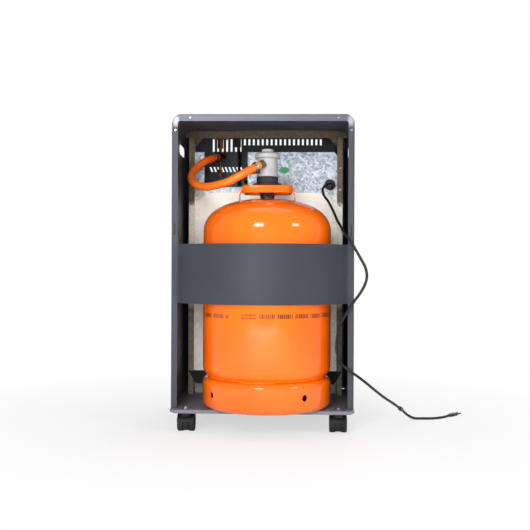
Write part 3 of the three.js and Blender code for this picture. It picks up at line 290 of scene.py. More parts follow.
# %% Putting a piece in place
def put(name, bm, finish, stands_for=(), body="root", smooth=32):
    bmesh.ops.remove_doubles(bm, verts=bm.verts, dist=0.002)
    bmesh.ops.recalc_face_normals(bm, faces=bm.faces)
    bmesh.ops.transform(bm, matrix=TO_MODEL, verts=bm.verts)
    mesh = bpy.data.meshes.new(name)
    bm.to_mesh(mesh)
    bm.free()
    for polygon in mesh.polygons:
        polygon.use_smooth = True
    mesh.set_sharp_from_angle(angle=radians(smooth))
    mesh.materials.append(finish)
    piece = bpy.data.objects.new(name, mesh)
    bpy.context.collection.objects.link(piece)
    if stands_for:
        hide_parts(*stands_for)
    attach(piece, body)
    return piece


def arc(centre, radius, start, end, steps):
    angles = [radians(start + (end - start) * i / steps) for i in range(steps + 1)]
    return [(centre[0] + radius * cos(a), centre[1] + radius * sin(a)) for a in angles]


def spun(bm, profile, axis_at=(0, 0), steps=64):
    before = set(bm.verts)
    verts = [bm.verts.new((axis_at[0] + r, axis_at[1], z)) for r, z in profile]
    edges = [bm.edges.new(pair) for pair in zip(verts, verts[1:])]
    bmesh.ops.spin(
        bm, geom=verts + edges, cent=(*axis_at, 0), axis=(0, 0, 1), angle=2 * pi, steps=steps, use_merge=True)
    made = [vert for vert in bm.verts if vert not in before]
    bmesh.ops.remove_doubles(bm, verts=made, dist=0.002)
    return [vert for vert in made if vert.is_valid]


def pressed(bm, outlines, start, thickness, axis="y"):
    """A flat blank with holes, given its thickness along one axis."""
    edges = []
    for outline in outlines:
        places = {
            "x": [(start, u, v) for u, v in outline],
            "y": [(u, start, v) for u, v in outline],
            "z": [(u, v, start) for u, v in outline],
        }[axis]
        verts = [bm.verts.new(place) for place in places]
        edges += [bm.edges.new(pair) for pair in zip(verts, verts[1:] + verts[:1])]
    filled = bmesh.ops.triangle_fill(bm, use_beauty=True, use_dissolve=False, edges=edges)
    faces = [item for item in filled["geom"] if isinstance(item, bmesh.types.BMFace)]
    pushed = bmesh.ops.extrude_face_region(bm, geom=faces)
    moved = [item for item in pushed["geom"] if isinstance(item, bmesh.types.BMVert)]
    direction = {"x": (1, 0, 0), "y": (0, 1, 0), "z": (0, 0, 1)}[axis]
    bmesh.ops.translate(bm, verts=moved, vec=Vector(direction) * thickness)


def rounded(u0, v0, u1, v1, radius, steps=6):
    corners = [((u1 - radius, v0 + radius), -90), ((u1 - radius, v1 - radius), 0),
               ((u0 + radius, v1 - radius), 90), ((u0 + radius, v0 + radius), 180)]
    return [point for centre, start in corners for point in arc(centre, radius, start, start + 90, steps)]


print("helpers ready")

# %% [markdown]
# The mains lead and the gas hose follow the routes that the model packed, so their points are
# repeated here. A centripetal Catmull-Rom curve passes through every point without loops, which
# suits a cable that is laid by hand.

# %% Routes of the lead and the hose, in metres
CORD_ROUTE = [
    (0.1635, 0.1865, 0.589), (0.1635, 0.177, 0.589), (0.155, 0.163, 0.5855), (0.1435, 0.152, 0.574),
    (0.145, 0.141, 0.5575), (0.156, 0.128, 0.54), (0.167, 0.112, 0.516), (0.176, 0.092, 0.492),
    (0.184, 0.066, 0.474), (0.1875, 0.03, 0.459), (0.19, 0.004, 0.4525), (0.197, -0.011, 0.446),
    (0.208, -0.019, 0.426), (0.222, -0.024, 0.401), (0.2335, -0.023, 0.379), (0.237, -0.021, 0.36),
    (0.2335, -0.021, 0.343), (0.223, -0.022, 0.323), (0.2085, -0.02, 0.3025), (0.194, -0.012, 0.279),
    (0.1825, 0.0, 0.257), (0.1745, 0.011, 0.232), (0.1715, 0.018, 0.205), (0.172, 0.018, 0.182),
    (0.18, 0.007, 0.161), (0.1935, -0.006, 0.1485), (0.209, -0.011, 0.138), (0.231, -0.002, 0.1215),
    (0.257, 0.025, 0.0985), (0.2855, 0.065, 0.0735), (0.315, 0.108, 0.0505), (0.338, 0.143, 0.031),
    (0.356, 0.163, 0.014), (0.374, 0.176, 0.0042), (0.396, 0.178, 0.0034), (0.42, 0.18, 0.0034),
    (0.446, 0.195, 0.0034), (0.468, 0.22, 0.0034),
]
HOSE_ROUTE = [
    (-0.007, 0.018, 0.616), (-0.016, 0.014, 0.6115), (-0.028, 0.0095, 0.6045), (-0.054, 0.006, 0.5895),
    (-0.083, 0.012, 0.5755), (-0.116, 0.03, 0.5687), (-0.146, 0.058, 0.5695), (-0.172, 0.095, 0.583),
    (-0.1805, 0.13, 0.6015), (-0.175, 0.165, 0.623), (-0.1575, 0.195, 0.644), (-0.136, 0.217, 0.6565),
    (-0.124, 0.232, 0.661),
]
CORD_RADIUS = 0.0032
HOSE_RADIUS = 0.0095


def smooth_route(points, steps):
    """Points along a centripetal Catmull-Rom curve through `points`, shifted to the model's frame."""
    knots = [Vector(p) for p in points]
    knots = [2 * knots[0] - knots[1], *knots, 2 * knots[-1] - knots[-2]]
    found = []
    for p0, p1, p2, p3 in zip(knots, knots[1:], knots[2:], knots[3:]):
        d0, d1, d2 = (sqrt((b - a).length) for a, b in ((p0, p1), (p1, p2), (p2, p3)))
        leave = ((p1 - p0) / d0 - (p2 - p0) / (d0 + d1) + (p2 - p1) / d1) * d1
        arrive = ((p2 - p1) / d1 - (p3 - p1) / (d1 + d2) + (p3 - p2) / d2) * d1
        for i in range(steps):
            t = i / steps
            found.append(
                p1 + leave * t + (3 * (p2 - p1) - 2 * leave - arrive) * t ** 2
                + (2 * (p1 - p2) + leave + arrive) * t ** 3)
    found.append(knots[-2])
    return [point + Vector((0, REAR_PLANE, 0)) for point in found]


def route_length(path):
    return sum((b - a).length for a, b in zip(path, path[1:]))


def curve_piece(name, path, radius, finish, sides=4, body="root"):
    line = bpy.data.curves.new(name, "CURVE")
    line.dimensions = "3D"
    line.bevel_depth = radius
    line.bevel_resolution = sides
    line.use_fill_caps = True
    spline = line.splines.new("POLY")
    spline.points.add(len(path) - 1)
    for knot, place in zip(spline.points, path):
        knot.co = (*place, 1)
    spline.use_smooth = True
    line.materials.append(finish)
    piece = bpy.data.objects.new(name, line)
    bpy.context.collection.objects.link(piece)
    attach(piece, body)
    return piece


cord_path = smooth_route(CORD_ROUTE, 8)
hose_path = smooth_route(HOSE_ROUTE, 10)
print("lead", round(route_length(cord_path), 3), "m, hose", round(route_length(hose_path), 3), "m")

# %% [markdown]
# The hose is an orange PVC tube for gas, smooth and half glossy. Over its far end it is pushed on
# a nozzle inside the cabinet, where the photograph shows it darker and redder, so a painted shade turns the colour over
# the last few centimetres.

# %% Hose finish
def hose_pvc():
    finish, tree, bsdf = new_finish("orange_gas_hose_pvc", "#f4661a", 0.34, Coat_Weight=0.25, Coat_Roughness=0.3)
    place = object_point(tree)
    end = add_node(tree, "ShaderNodeVectorMath", {"operation": "DISTANCE"})
    tree.links.new(place, end.inputs[0])
    end.inputs[1].default_value = hose_path[-1]
    # Painted shade: darker and redder over the last few centimetres of the hose.
    painted_shade_at_end = add_node(tree, "ShaderNodeMapRange", {"From Min": 0.018, "From Max": 0.055}, Value=end.outputs["Value"])
    darker_tone = add_node(tree, "ShaderNodeTexNoise", {"Scale": 35.0, "Detail": 5.0}, Vector=place)
    body = stops(add_node(tree, "ShaderNodeValToRGB", Fac=darker_tone.outputs["Fac"]), (0.38, "#f4640f"), (0.6, "#fc7418"))
    mix = add_node(tree, "ShaderNodeMixRGB", {"Color1": colour("#c8360f")}, Fac=painted_shade_at_end.outputs["Result"])
    tree.links.new(body.outputs["Color"], mix.inputs["Color2"])
    tree.links.new(mix.outputs["Color"], bsdf.inputs["Base Color"])
    ripple = add_node(tree, "ShaderNodeTexNoise", {"Scale": 260.0, "Detail": 2.0}, Vector=place)
    bump = add_node(tree, "ShaderNodeBump", {"Strength": 0.1, "Distance": 0.0005}, Height=ripple.outputs["Fac"])
    tree.links.new(bump.outputs["Normal"], bsdf.inputs["Normal"])
    return finish


hose = curve_piece("orange_hose", hose_path, HOSE_RADIUS - 0.0001, hose_pvc(), sides=8)
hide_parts("gas_hose")
print("hose bends at most", round(max(p.z for p in hose_path) - min(p.z for p in hose_path), 3), "m in height")

# %% [markdown]
# The lead ends in a plug, with a small tie a hand's length before it. A moulded plug is one soft
# body round two pins: an extruded outline with every edge rounded.

# %% Lead, tie and plug
PLUG = {"neck": 3.4, "half": 7.0, "shoulder": 12, "length": 34, "height": 6.8, "pin": 18, "pin_radius": 1.8, "pitch": 9}
TIE_FROM_PLUG = 0.171


def point_from_end(path, distance):
    left = distance
    for b, a in zip(reversed(path), list(reversed(path))[1:]):
        step = (b - a).length
        if step >= left:
            return b.lerp(a, left / step), (b - a).normalized()
        left -= step


def lay_along(bm, origin, direction):
    turn = Vector((0, 0, 1)).rotation_difference(direction).to_matrix().to_4x4()
    place = TO_MODEL.inverted() @ Vector(origin)
    bmesh.ops.transform(bm, matrix=Matrix.Translation(place) @ turn, verts=bm.verts)


cord = curve_piece("mains_lead", cord_path, CORD_RADIUS - 0.00005, cord_pvc, sides=6)
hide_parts("mains_cord")

tie_place, tie_way = point_from_end(cord_path, TIE_FROM_PLUG)
bm = bmesh.new()
spun(bm, [(3.5, -4.5), (4.9, -4.5), *arc((4.9, -3.9), 0.5, -60, 0, 3), *arc((4.9, 3.9), 0.5, 0, 60, 3), (4.9, 4.5),
          (3.5, 4.5), (3.5, -4.5)], steps=32)
lay_along(bm, tie_place, tie_way)
tie = put("lead_tie", bm, moulded("grey_tie", "#4a4b4d", "#5c5d60", 0.55), ["cord_tie"])

bm = bmesh.new()
outline = [(-PLUG["neck"], 0), (PLUG["neck"], 0), (PLUG["half"], PLUG["shoulder"]), (PLUG["half"], PLUG["length"]),
           (-PLUG["half"], PLUG["length"]), (-PLUG["half"], PLUG["shoulder"])]
pressed(bm, [outline], -PLUG["height"] / 2, PLUG["height"], axis="z")
bmesh.ops.bevel(bm, geom=list(bm.edges), offset=1.6, segments=4, profile=0.5, affect="EDGES", material=-1)
for side in (-1, 1):
    made = bmesh.ops.create_cone(
        bm, cap_ends=True, segments=20, radius1=PLUG["pin_radius"], radius2=PLUG["pin_radius"], depth=PLUG["pin"] + 1)
    bmesh.ops.rotate(bm, verts=made["verts"], cent=(0, 0, 0), matrix=Matrix.Rotation(pi / 2, 3, "X"))
    shift = (side * PLUG["pitch"] / 2, PLUG["length"] + PLUG["pin"] / 2 - 0.5, 0)
    bmesh.ops.translate(bm, verts=made["verts"], vec=shift)
out = (cord_path[-1] - cord_path[-2]).normalized()
turn = Matrix.Rotation(atan2(-out.x, out.y), 4, "Z")
spot = TO_MODEL.inverted() @ (cord_path[-1] + out * 0.0003)
bmesh.ops.transform(bm, matrix=Matrix.Translation((spot.x, spot.y, PLUG["height"] / 2)) @ turn, verts=bm.verts)
mains_plug = put("lead_plug", bm, black_abs, ["mains_plug"], smooth=50)

# %% [markdown]
# The stage is a wide pale floor and an even white surround, with two soft panels of light beside
# the camera, as for a catalogue shot. Far from the heater the floor fades to plain white, so that
# no horizon shows. The lamps stay at a level at which a colour renders about as it is written.

# %% Floor, surround and lamps
def white_floor():
    finish, tree, bsdf = new_finish("white_floor", "#fafafa", 0.9, Specular_IOR_Level=0.1)
    place = object_point(tree)
    far = add_node(tree, "ShaderNodeVectorMath", {"operation": "LENGTH"})
    tree.links.new(place, far.inputs[0])
    fade = add_node(tree, "ShaderNodeMapRange", {"From Min": 0.35, "From Max": 1.0, "To Min": 0.6}, Value=far.outputs["Value"])
    glow = add_node(tree, "ShaderNodeEmission", {"Color": (1, 1, 1, 1), "Strength": 1.0})
    path = add_node(tree, "ShaderNodeLightPath")
    share = add_node(tree, "ShaderNodeMath", {"operation": "MULTIPLY"})
    tree.links.new(fade.outputs["Result"], share.inputs[0])
    tree.links.new(path.outputs["Is Camera Ray"], share.inputs[1])
    mix = add_node(tree, "ShaderNodeMixShader", Fac=share.outputs["Value"])
    tree.links.new(bsdf.outputs["BSDF"], mix.inputs[1])
    tree.links.new(glow.outputs["Emission"], mix.inputs[2])
    tree.links.new(mix.outputs["Shader"], tree.nodes["Material Output"].inputs["Surface"])
    return finish


bm = bmesh.new()
bmesh.ops.create_circle(bm, cap_ends=True, radius=6.0, segments=96)
floor_mesh = bpy.data.meshes.new("floor")
bm.to_mesh(floor_mesh)
bm.free()
floor_mesh.materials.append(white_floor())
floor = bpy.data.objects.new("floor", floor_mesh)
bpy.context.collection.objects.link(floor)

world = bpy.data.worlds.new("surround")
world.use_nodes = True
bpy.context.scene.world = world
tree = world.node_tree
sky = tree.nodes["Background"]
sky.inputs["Color"].default_value = (0.93, 0.95, 1.0, 1)
sky.inputs["Strength"].default_value = 0.42
seen = add_node(tree, "ShaderNodeBackground", {"Color": (1, 1, 1, 1), "Strength": 1.0})
rays = add_node(tree, "ShaderNodeLightPath")
either = add_node(tree, "ShaderNodeMath", {"operation": "MAXIMUM"})
tree.links.new(rays.outputs["Is Camera Ray"], either.inputs[0])
tree.links.new(rays.outputs["Is Transmission Ray"], either.inputs[1])
choice = add_node(tree, "ShaderNodeMixShader", Fac=either.outputs["Value"])
tree.links.new(sky.outputs["Background"], choice.inputs[1])
tree.links.new(seen.outputs["Background"], choice.inputs[2])
tree.links.new(choice.outputs["Shader"], tree.nodes["World Output"].inputs["Surface"])


def lamp(name, place, target, size, watts, tint=(1, 1, 1)):
    data = bpy.data.lights.new(name, "AREA")
    data.shape = "RECTANGLE"
    data.size, data.size_y = size
    data.energy = watts
    data.color = tint
    light = bpy.data.objects.new(name, data)
    light.location = place
    light.rotation_euler = (Vector(target) - Vector(place)).to_track_quat("-Z", "Y").to_euler()
    bpy.context.collection.objects.link(light)
    return light


lamp("left_panel", (-0.52, -2.3, 1.33), (0, 0, 0.42), (0.66, 0.52), 20)
lamp("right_panel", (1.86, -1.45, 1.33), (0, 0, 0.42), (0.5, 0.4), 8)
fill = lamp("low_fill", (-0.25, -2.9, 0.55), (0, 0, 0.4), (2.2, 1.2), 72)
fill.visible_glossy = False
lamp("burner_side", (0.6, 2.4, 1.5), (0, 0, 0.4), (1.2, 1.2), 18)
lamp("overhead", (0.1, 0.2, 2.6), (0, 0, 0), (1.6, 1.6), 7)

# %% [markdown]
# A sheet-metal cabinet is cut flat and then folded. The side panels, the band and the bottle's foot
# ring are made the same way here: a flat blank with its holes, creased where it bends, and then
# carried onto a path. Each point of a path has its place and the direction into the sheet.

# %% Forming sheet
from bisect import bisect_right
from math import hypot

SHEET = 1.2


def bend(centre, radius, start, end, steps=6):
    angles = [radians(start + (end - start) * i / steps) for i in range(steps + 1)]
    return [(centre[0] + radius * cos(a), centre[1] + radius * sin(a), -cos(a), -sin(a)) for a in angles]


def along(path):
    lengths = [0.0]
    for start, end in zip(path, path[1:]):
        lengths.append(lengths[-1] + hypot(end[0] - start[0], end[1] - start[1]))

    def at(s, depth):
        i = min(max(bisect_right(lengths, s) - 1, 0), len(path) - 2)
        t = (s - lengths[i]) / (lengths[i + 1] - lengths[i])
        u, v, inward_u, inward_v = (a + (b - a) * t for a, b in zip(path[i], path[i + 1]))
        return u + inward_u * depth, v + inward_v * depth

    return at, lengths


def formed(bm, outlines, thickness, shape, cuts_u=(), cuts_v=()):
    pressed(bm, outlines, 0, thickness, axis="y")
    for cuts, normal in ((cuts_u, (1, 0, 0)), (cuts_v, (0, 0, 1))):
        for cut in cuts:
            everything = list(bm.verts) + list(bm.edges) + list(bm.faces)
            bmesh.ops.bisect_plane(bm, geom=everything, dist=0.001, plane_co=Vector(normal) * cut, plane_no=normal)
    for vert in bm.verts:
        vert.co = shape(*vert.co)


def loft(bm, rings, closed=False):
    """Quads between rings of equal length, one after another."""
    rows = [[bm.verts.new(point) for point in ring] for ring in rings]
    for row, following in zip(rows, rows[1:]):
        for i in range(len(row) if closed else len(row) - 1):
            j = (i + 1) % len(row)
            bm.faces.new((row[i], row[j], following[j], following[i]))
    return rows


def soften(bm, offset, segments=3, angle=35):
    edges = [edge for edge in bm.edges if len(edge.link_faces) == 2 and edge.calc_face_angle(0) > radians(angle)]
    bmesh.ops.bevel(bm, geom=edges, offset=offset, segments=segments, profile=0.5, affect="EDGES", material=-1)


print("folding, lofting and softening ready")

# %% [markdown]
# Each side is one sheet folded twice, with a rear flange that holds slots for the band and a hand
# hole near the top. The fold's inner radius is about one sheet thickness, which gives the thin
# highlight down each edge of the cabinet.

# %% Side panels
HALF_WIDTH, DEPTH, SEAM, PLATE_TOP = 210.0, 330.0, 700.0, 54.0
FLANGE, FOLD = 14.0, 2.5
side_path = [
    (HALF_WIDTH - FLANGE, 0, 0, 1),
    *bend((HALF_WIDTH - FOLD, FOLD), FOLD, -90, 0),
    *bend((HALF_WIDTH - FOLD, DEPTH - FOLD), FOLD, 0, 90),
    (HALF_WIDTH - 8, DEPTH, 0, -1),
]
side_at, side_lengths = along(side_path)
grip_middle = FLANGE - FOLD + pi / 2 * FOLD + 171 - FOLD
slot_middle = FLANGE / 2


def side_panel(name, side):
    outlines = [
        [(0, PLATE_TOP + 0.3), (side_lengths[-1], PLATE_TOP + 0.3), (side_lengths[-1], SEAM), (0, SEAM)],
        rounded(grip_middle - 47.5, 656.5, grip_middle + 47.5, 681.5, 12, steps=8),
    ]
    for z in (310, 395, 452):
        outlines.append(rounded(slot_middle - 1.6, z - 0.5, slot_middle + 1.6, z + 26.5, 1.4, steps=3))
    bm = bmesh.new()

    def shape(s, depth, z):
        x, y = side_at(s, depth)
        return Vector((side * x, y, z))

    formed(bm, outlines, SHEET, shape, cuts_u=side_lengths[1:-1])
    return put(name.replace("_panel", "_sheet"), bm, cabinet_coat, [name], smooth=40)


side_panel("left_side_panel", -1)
side_panel("right_side_panel", 1)
print("sides: blank", round(side_lengths[-1], 1), "mm wide")

# %% [markdown]
# The top is a separate drawn cover with rounded corners that catch the light. Its walls come from
# one outline, pulled over a tight fold into a flange at the rear and a narrower one at the front.

# %% Top cover
COVER_TOP, CORNER = 731.0, 22.0


def arch(half, top, radius, y, bottom=SEAM + 0.3, steps=12):
    right = arc((half - radius, top - radius), radius, 0, 90, steps)
    left = arc((-half + radius, top - radius), radius, 90, 180, steps)
    return [(x, y, z) for x, z in [(half, bottom), *right, *left, (-half, bottom)]]


def paint_corner_highlight(finish):
    """Paints a pale grey highlight into the coat at the two drawn corners of the rear flange."""
    tree = finish.node_tree
    base = tree.nodes["Principled BSDF"].inputs["Base Color"]
    axes = add_node(tree, "ShaderNodeSeparateXYZ", Vector=object_point(tree))
    across = calc(tree, "SUBTRACT", calc(tree, "ABSOLUTE", axes.outputs["X"]), 0.2012)
    up = calc(tree, "MULTIPLY", calc(tree, "SUBTRACT", axes.outputs["Z"], 0.7165), 0.6)
    far = calc(tree, "ADD", calc(tree, "MULTIPLY", across, across), calc(tree, "MULTIPLY", up, up))
    highlight_spot = add_node(tree, "ShaderNodeMapRange", {"From Min": 0.0095, "From Max": 0.004}, Value=calc(tree, "SQRT", far))
    share = calc(tree, "MULTIPLY", highlight_spot.outputs["Result"], calc(tree, "LESS_THAN", axes.outputs["Y"], REAR_PLANE + 0.004))
    # Painted highlight: pale grey mixed into the coat colour round each rear corner.
    corner_highlight = add_node(
        tree, "ShaderNodeMixRGB", {"Color2": colour("#a3a6ae")}, Fac=share, Color1=base.links[0].from_socket)
    tree.links.new(corner_highlight.outputs["Color"], base)


folds = [(FOLD * (1 - sin(radians(a))), FOLD * (1 - cos(radians(a)))) for a in range(0, 91, 15)]
rings = [arch(HALF_WIDTH - FLANGE, COVER_TOP - 16, 5, 0)]
rings += [arch(HALF_WIDTH - inset, COVER_TOP - inset, CORNER - inset, y) for inset, y in folds]
rings += [arch(HALF_WIDTH - inset, COVER_TOP - inset, CORNER - inset, DEPTH - y) for inset, y in reversed(folds)]
rings += [arch(HALF_WIDTH - 8, COVER_TOP - 8, CORNER - 8, DEPTH)]
bm = bmesh.new()
loft(bm, rings)
bmesh.ops.solidify(bm, geom=list(bm.faces), thickness=SHEET)
low = min(v.co.y for v in bm.verts)
if low < -0.01:
    raise ValueError("the cover grew outward")
# Painted highlight on the two rear corners of the cover.
paint_corner_highlight(cover_coat)
cover = put("drawn_top_cover", bm, cover_coat, ["top_cover"], smooth=40)
print("cover faces:", len(cover.data.polygons))

# %% [markdown]
# The base is a tray turned upside down: a plate with its edge folded down into a lip. It reaches
# out behind the cabinet, where the bottle is rolled on.

# %% Base plate
def plate_ring(inset, z):
    low, high = -22 + inset, 327 - inset
    outline = rounded(-HALF_WIDTH - 1 + inset, low, HALF_WIDTH + 1 - inset, high, 12 - inset, steps=8)
    if z > PLATE_TOP - 12:
        return [(x, y, z) for x, y in outline]
    rise = [min(max((abs(x) - 186) / 24, 0), 1) * 7 if y < 0 else 0 for x, y in outline]
    return [(x, y, z + up) for (x, y), up in zip(outline, rise)]


lip = [(SHEET, PLATE_TOP - SHEET), (SHEET, PLATE_TOP - 12), (0, PLATE_TOP - 12)]
lip += [(2.5 * (1 - cos(radians(a))), PLATE_TOP - 2.5 * (1 - sin(radians(a)))) for a in range(0, 91, 15)]
bm = bmesh.new()
rows = loft(bm, [plate_ring(inset, z) for inset, z in lip], closed=True)
bm.faces.new(rows[0])
bm.faces.new(rows[-1])
put("folded_base_plate", bm, plate_coat, ["base_plate"], smooth=40)
print("base plate done")

# %% [markdown]
# The band that holds the bottle is one strip of the same sheet, rolled outward round the bottle,
# with two hooks at each end that drop into the flange slots.

# %% Restraint band
BAND_HALF, BAND_TAB, BAND_LOW, BAND_HIGH, BAND_BULGE = 204.5, 12.0, 296.5, 431.5, 103.0
face = -0.3 - SHEET
chord, rise = BAND_HALF - BAND_TAB, BAND_BULGE + face
roll = (chord ** 2 + rise ** 2) / (2 * rise)
roll_y = face - rise + roll
spread = degrees(asin(chord / roll))


def eased(start, corner, end, steps=6):
    """A crease opened into a soft curve, with the direction into the sheet."""
    points = []
    for i in range(steps + 1):
        t = i / steps
        x, y = ((1 - t) ** 2 * a + 2 * t * (1 - t) * b + t * t * c for a, b, c in zip(start, corner, end))
        run_x, run_y = ((1 - t) * (b - a) + t * (c - b) for a, b, c in zip(start, corner, end))
        size = hypot(run_x, run_y)
        points.append((x, y, -run_y / size, run_x / size))
    return points


turn_in = 2.0
rolled = bend((0, roll_y), roll, -90 - spread + turn_in, -90 + spread - turn_in, 64)
left_ease = eased((-chord - 6, face), (-chord, face), rolled[0][:2])
right_ease = eased(rolled[-1][:2], (chord, face), (chord + 6, face))
band_path = [(-BAND_HALF, face, 0, 1), *left_ease, *rolled[1:-1], *right_ease, (BAND_HALF, face, 0, 1)]
band_at, band_lengths = along(band_path)


def band_shape(s, depth, z):
    x, y = band_at(s, depth)
    return Vector((x, y, z))


bm = bmesh.new()
formed(bm, [rounded(0, BAND_LOW, band_lengths[-1], BAND_HIGH, 9, steps=8)], SHEET, band_shape,
       cuts_u=band_lengths[1:-1])
for side in (-1, 1):
    for z in (310, 395):
        hook = [(face + 0.2, z), (SHEET + 0.3, z), (SHEET + 0.3, z - 8), (SHEET + 8, z - 6), (SHEET + 8, z + 14),
                (face + 0.2, z + 14)]
        pressed(bm, [hook], side * 203 - SHEET / 2, SHEET, axis="x")
put("rolled_band", bm, band_coat, ["restraint_band"], body="band", smooth=30)
print("band strip", round(band_lengths[-1], 1), "mm long")

# %% [markdown]
# The bottle is drawn steel with a stove enamel. The enamel is smooth and glossy over a very faint
# waviness of the steel. In specks it turns darker and browner towards the bottom, and a painted
# shade darkens the top of the dome round the valve. A row of short printed marks goes round its front, drawn here as
# plain dashes of ink.

# %% Bottle enamel
BOTTLE_X, BOTTLE_Y, BOTTLE_RADIUS = 9.0, 53.0, 150.0


def enamel():
    finish, tree, bsdf = new_finish(
        "orange_stove_enamel", "#fb6808", 0.22, Coat_Weight=0.8, Coat_Roughness=0.055, Specular_IOR_Level=0.15)
    place = object_point(tree)
    slow = add_node(tree, "ShaderNodeTexNoise", {"Scale": 7.0, "Detail": 6.0}, Vector=place)
    body = stops(add_node(tree, "ShaderNodeValToRGB", Fac=slow.outputs["Fac"]), (0.36, "#f86306"), (0.62, "#fd6e0b"))
    axes = add_node(tree, "ShaderNodeSeparateXYZ", Vector=place)
    x = calc(tree, "SUBTRACT", axes.outputs["X"], BOTTLE_X / 1000)
    y = calc(tree, "SUBTRACT", REAR_PLANE + BOTTLE_Y / 1000, axes.outputs["Y"])
    around = calc(tree, "MULTIPLY", calc(tree, "ARCTAN2", x, y), BOTTLE_RADIUS / 1000)
    marks = 0.0
    rows = [  # low, high, pitch, first and last place round the bottle, all in metres
        (0.2655, 0.2745, 0.0045, -0.186, -0.086), (0.2665, 0.2765, 0.0045, -0.012, 0.2),
        (0.2655, 0.2695, 0.0038, -0.058, -0.017), (0.2725, 0.2765, 0.0038, -0.058, -0.017)]
    for low, high, pitch, first, last in rows:
        step = calc(tree, "DIVIDE", calc(tree, "ADD", around, 0.3), pitch)
        cell = add_node(tree, "ShaderNodeTexWhiteNoise", {"noise_dimensions": "1D"}, W=calc(tree, "FLOOR", step))
        share = calc(tree, "ADD", calc(tree, "MULTIPLY", cell.outputs["Value"], 0.35), 0.5)
        inked = calc(tree, "LESS_THAN", calc(tree, "FRACT", step), share)
        word = calc(tree, "FRACT", calc(tree, "DIVIDE", calc(tree, "ADD", around, 0.3), 0.041))
        inked = calc(tree, "MULTIPLY", inked, calc(tree, "LESS_THAN", word, 0.84))
        limits = ((axes.outputs["Z"], low, high), (around, first, last))
        for value, least, most in limits:
            inked = calc(tree, "MULTIPLY", inked, calc(tree, "GREATER_THAN", value, least))
            inked = calc(tree, "MULTIPLY", inked, calc(tree, "LESS_THAN", value, most))
        marks = calc(tree, "MAXIMUM", inked, marks)
    ink = add_node(tree, "ShaderNodeMixRGB", {"Color2": colour("#6b2f18")}, Fac=marks, Color1=body.outputs["Color"])
    # Darker and browner towards the bottom, in specks.
    low_down = add_node(
        tree, "ShaderNodeMapRange", {"From Min": 0.13, "From Max": 0.06, "To Max": 0.4}, Value=axes.outputs["Z"])
    speck = add_node(tree, "ShaderNodeTexNoise", {"Scale": 45.0, "Detail": 4.0}, Vector=place)
    # Painted shade: the same brown darkens the top of the dome round the valve, under the handle.
    collar = add_node(
        tree, "ShaderNodeMapRange", {"From Min": 0.518, "From Max": 0.531, "To Max": 1.2}, Value=axes.outputs["Z"])
    collar = calc(tree, "MULTIPLY", collar.outputs["Result"], calc(tree, "LESS_THAN", axes.outputs["Z"], 0.541))
    browned_low_and_painted_dome_shade = calc(tree, "ADD", low_down.outputs["Result"], collar)
    browned_low_and_painted_dome_shade = calc(tree, "MULTIPLY", browned_low_and_painted_dome_shade, speck.outputs["Fac"])
    darker_tone = add_node(tree, "ShaderNodeMixRGB", {"Color2": colour("#8f4a20")}, Fac=browned_low_and_painted_dome_shade, Color1=ink.outputs["Color"])
    tree.links.new(darker_tone.outputs["Color"], bsdf.inputs["Base Color"])
    gloss = add_node(tree, "ShaderNodeMapRange", {"To Min": 0.18, "To Max": 0.28}, Value=speck.outputs["Fac"])
    tree.links.new(gloss.outputs["Result"], bsdf.inputs["Roughness"])
    wave = add_node(tree, "ShaderNodeTexNoise", {"Scale": 28.0, "Detail": 2.0}, Vector=place)
    bump = add_node(tree, "ShaderNodeBump", {"Strength": 0.12, "Distance": 0.001}, Height=wave.outputs["Fac"])
    tree.links.new(bump.outputs["Normal"], bsdf.inputs["Normal"])
    return finish


bottle_enamel = enamel()
print("enamel nodes:", len(bottle_enamel.node_tree.nodes))

# %% [markdown]
# The shell is a body of revolution: a rounded lower end, a straight wall and a domed head that is
# flatter on top than half an ellipse. Round it a foot ring is welded, rolled in at both edges, with
# four vent holes. The ring is formed from a flat strip, so that the holes are real.

# %% Bottle shell and foot ring
def dome(angle):
    return BOTTLE_RADIUS * cos(angle) ** 0.8, 455 + 84 * sin(angle) ** 0.8


shell = [(0, 124), (138.5, 124), (139.8, 125.2), *arc((122, 149.5), 28, -50, 0, 12), *(dome(pi / 2 * (i / 40) ** 1.15) for i in range(1, 39)), (0, 539)]
bm = bmesh.new()
spun(bm, shell, (BOTTLE_X, BOTTLE_Y), steps=96)
bead = [(x + 140.4, z + 124.6) for x, z in arc((0, 0), 1.8, 0, 360, 10)]
loft(bm, [[(BOTTLE_X + r * sin(a), BOTTLE_Y - r * cos(a), z) for r, z in bead]
          for a in (radians(-23 + 2 * i) for i in range(17))])
put("bottle", bm, bottle_enamel, ["bottle_shell"], smooth=50)

ring_path = [
    (132, 54.3, 0, 1), *bend((136, 68.3), 14, -80, 0, 8), *bend((137, 110), 14, 0, 70, 8), (136, 123.5, 0, -1)]
ring_at, ring_lengths = along(ring_path)
wall_start = ring_lengths[9]
vent_v = wall_start + 90.15 - 68.3
RING_RADIUS = 151.0
circumference = 2 * pi * RING_RADIUS
outlines = [[(0, 0), (circumference, 0), (circumference, ring_lengths[-1]), (0, ring_lengths[-1])]]
outlines += [arc((radians(a) * RING_RADIUS, vent_v), 7.5, 0, 345, 23) for a in (36, 126, 216, 306)]


def ring_shape(u, depth, v):
    r, z = ring_at(v, depth)
    angle = u / RING_RADIUS
    return Vector((BOTTLE_X + r * sin(angle), BOTTLE_Y - r * cos(angle), z))


bm = bmesh.new()
sectors = [circumference * i / 96 for i in range(1, 96)]
formed(bm, outlines, 3, ring_shape, cuts_u=sectors, cuts_v=ring_lengths[1:-1])
seam = [f for f in bm.faces if all(abs(v.co.x - BOTTLE_X) < 0.001 and v.co.y < BOTTLE_Y for v in f.verts)]
bmesh.ops.delete(bm, geom=seam, context="FACES")
ring = put("rolled_foot_ring", bm, bottle_enamel, ["foot_ring"], smooth=45)
print("foot ring faces:", len(ring.data.polygons))

# %% [markdown]
# The handle is a bent steel loop with rolled edges on two welded legs. The brass valve body stands
# inside it, ribbed for the coupling of the regulator.

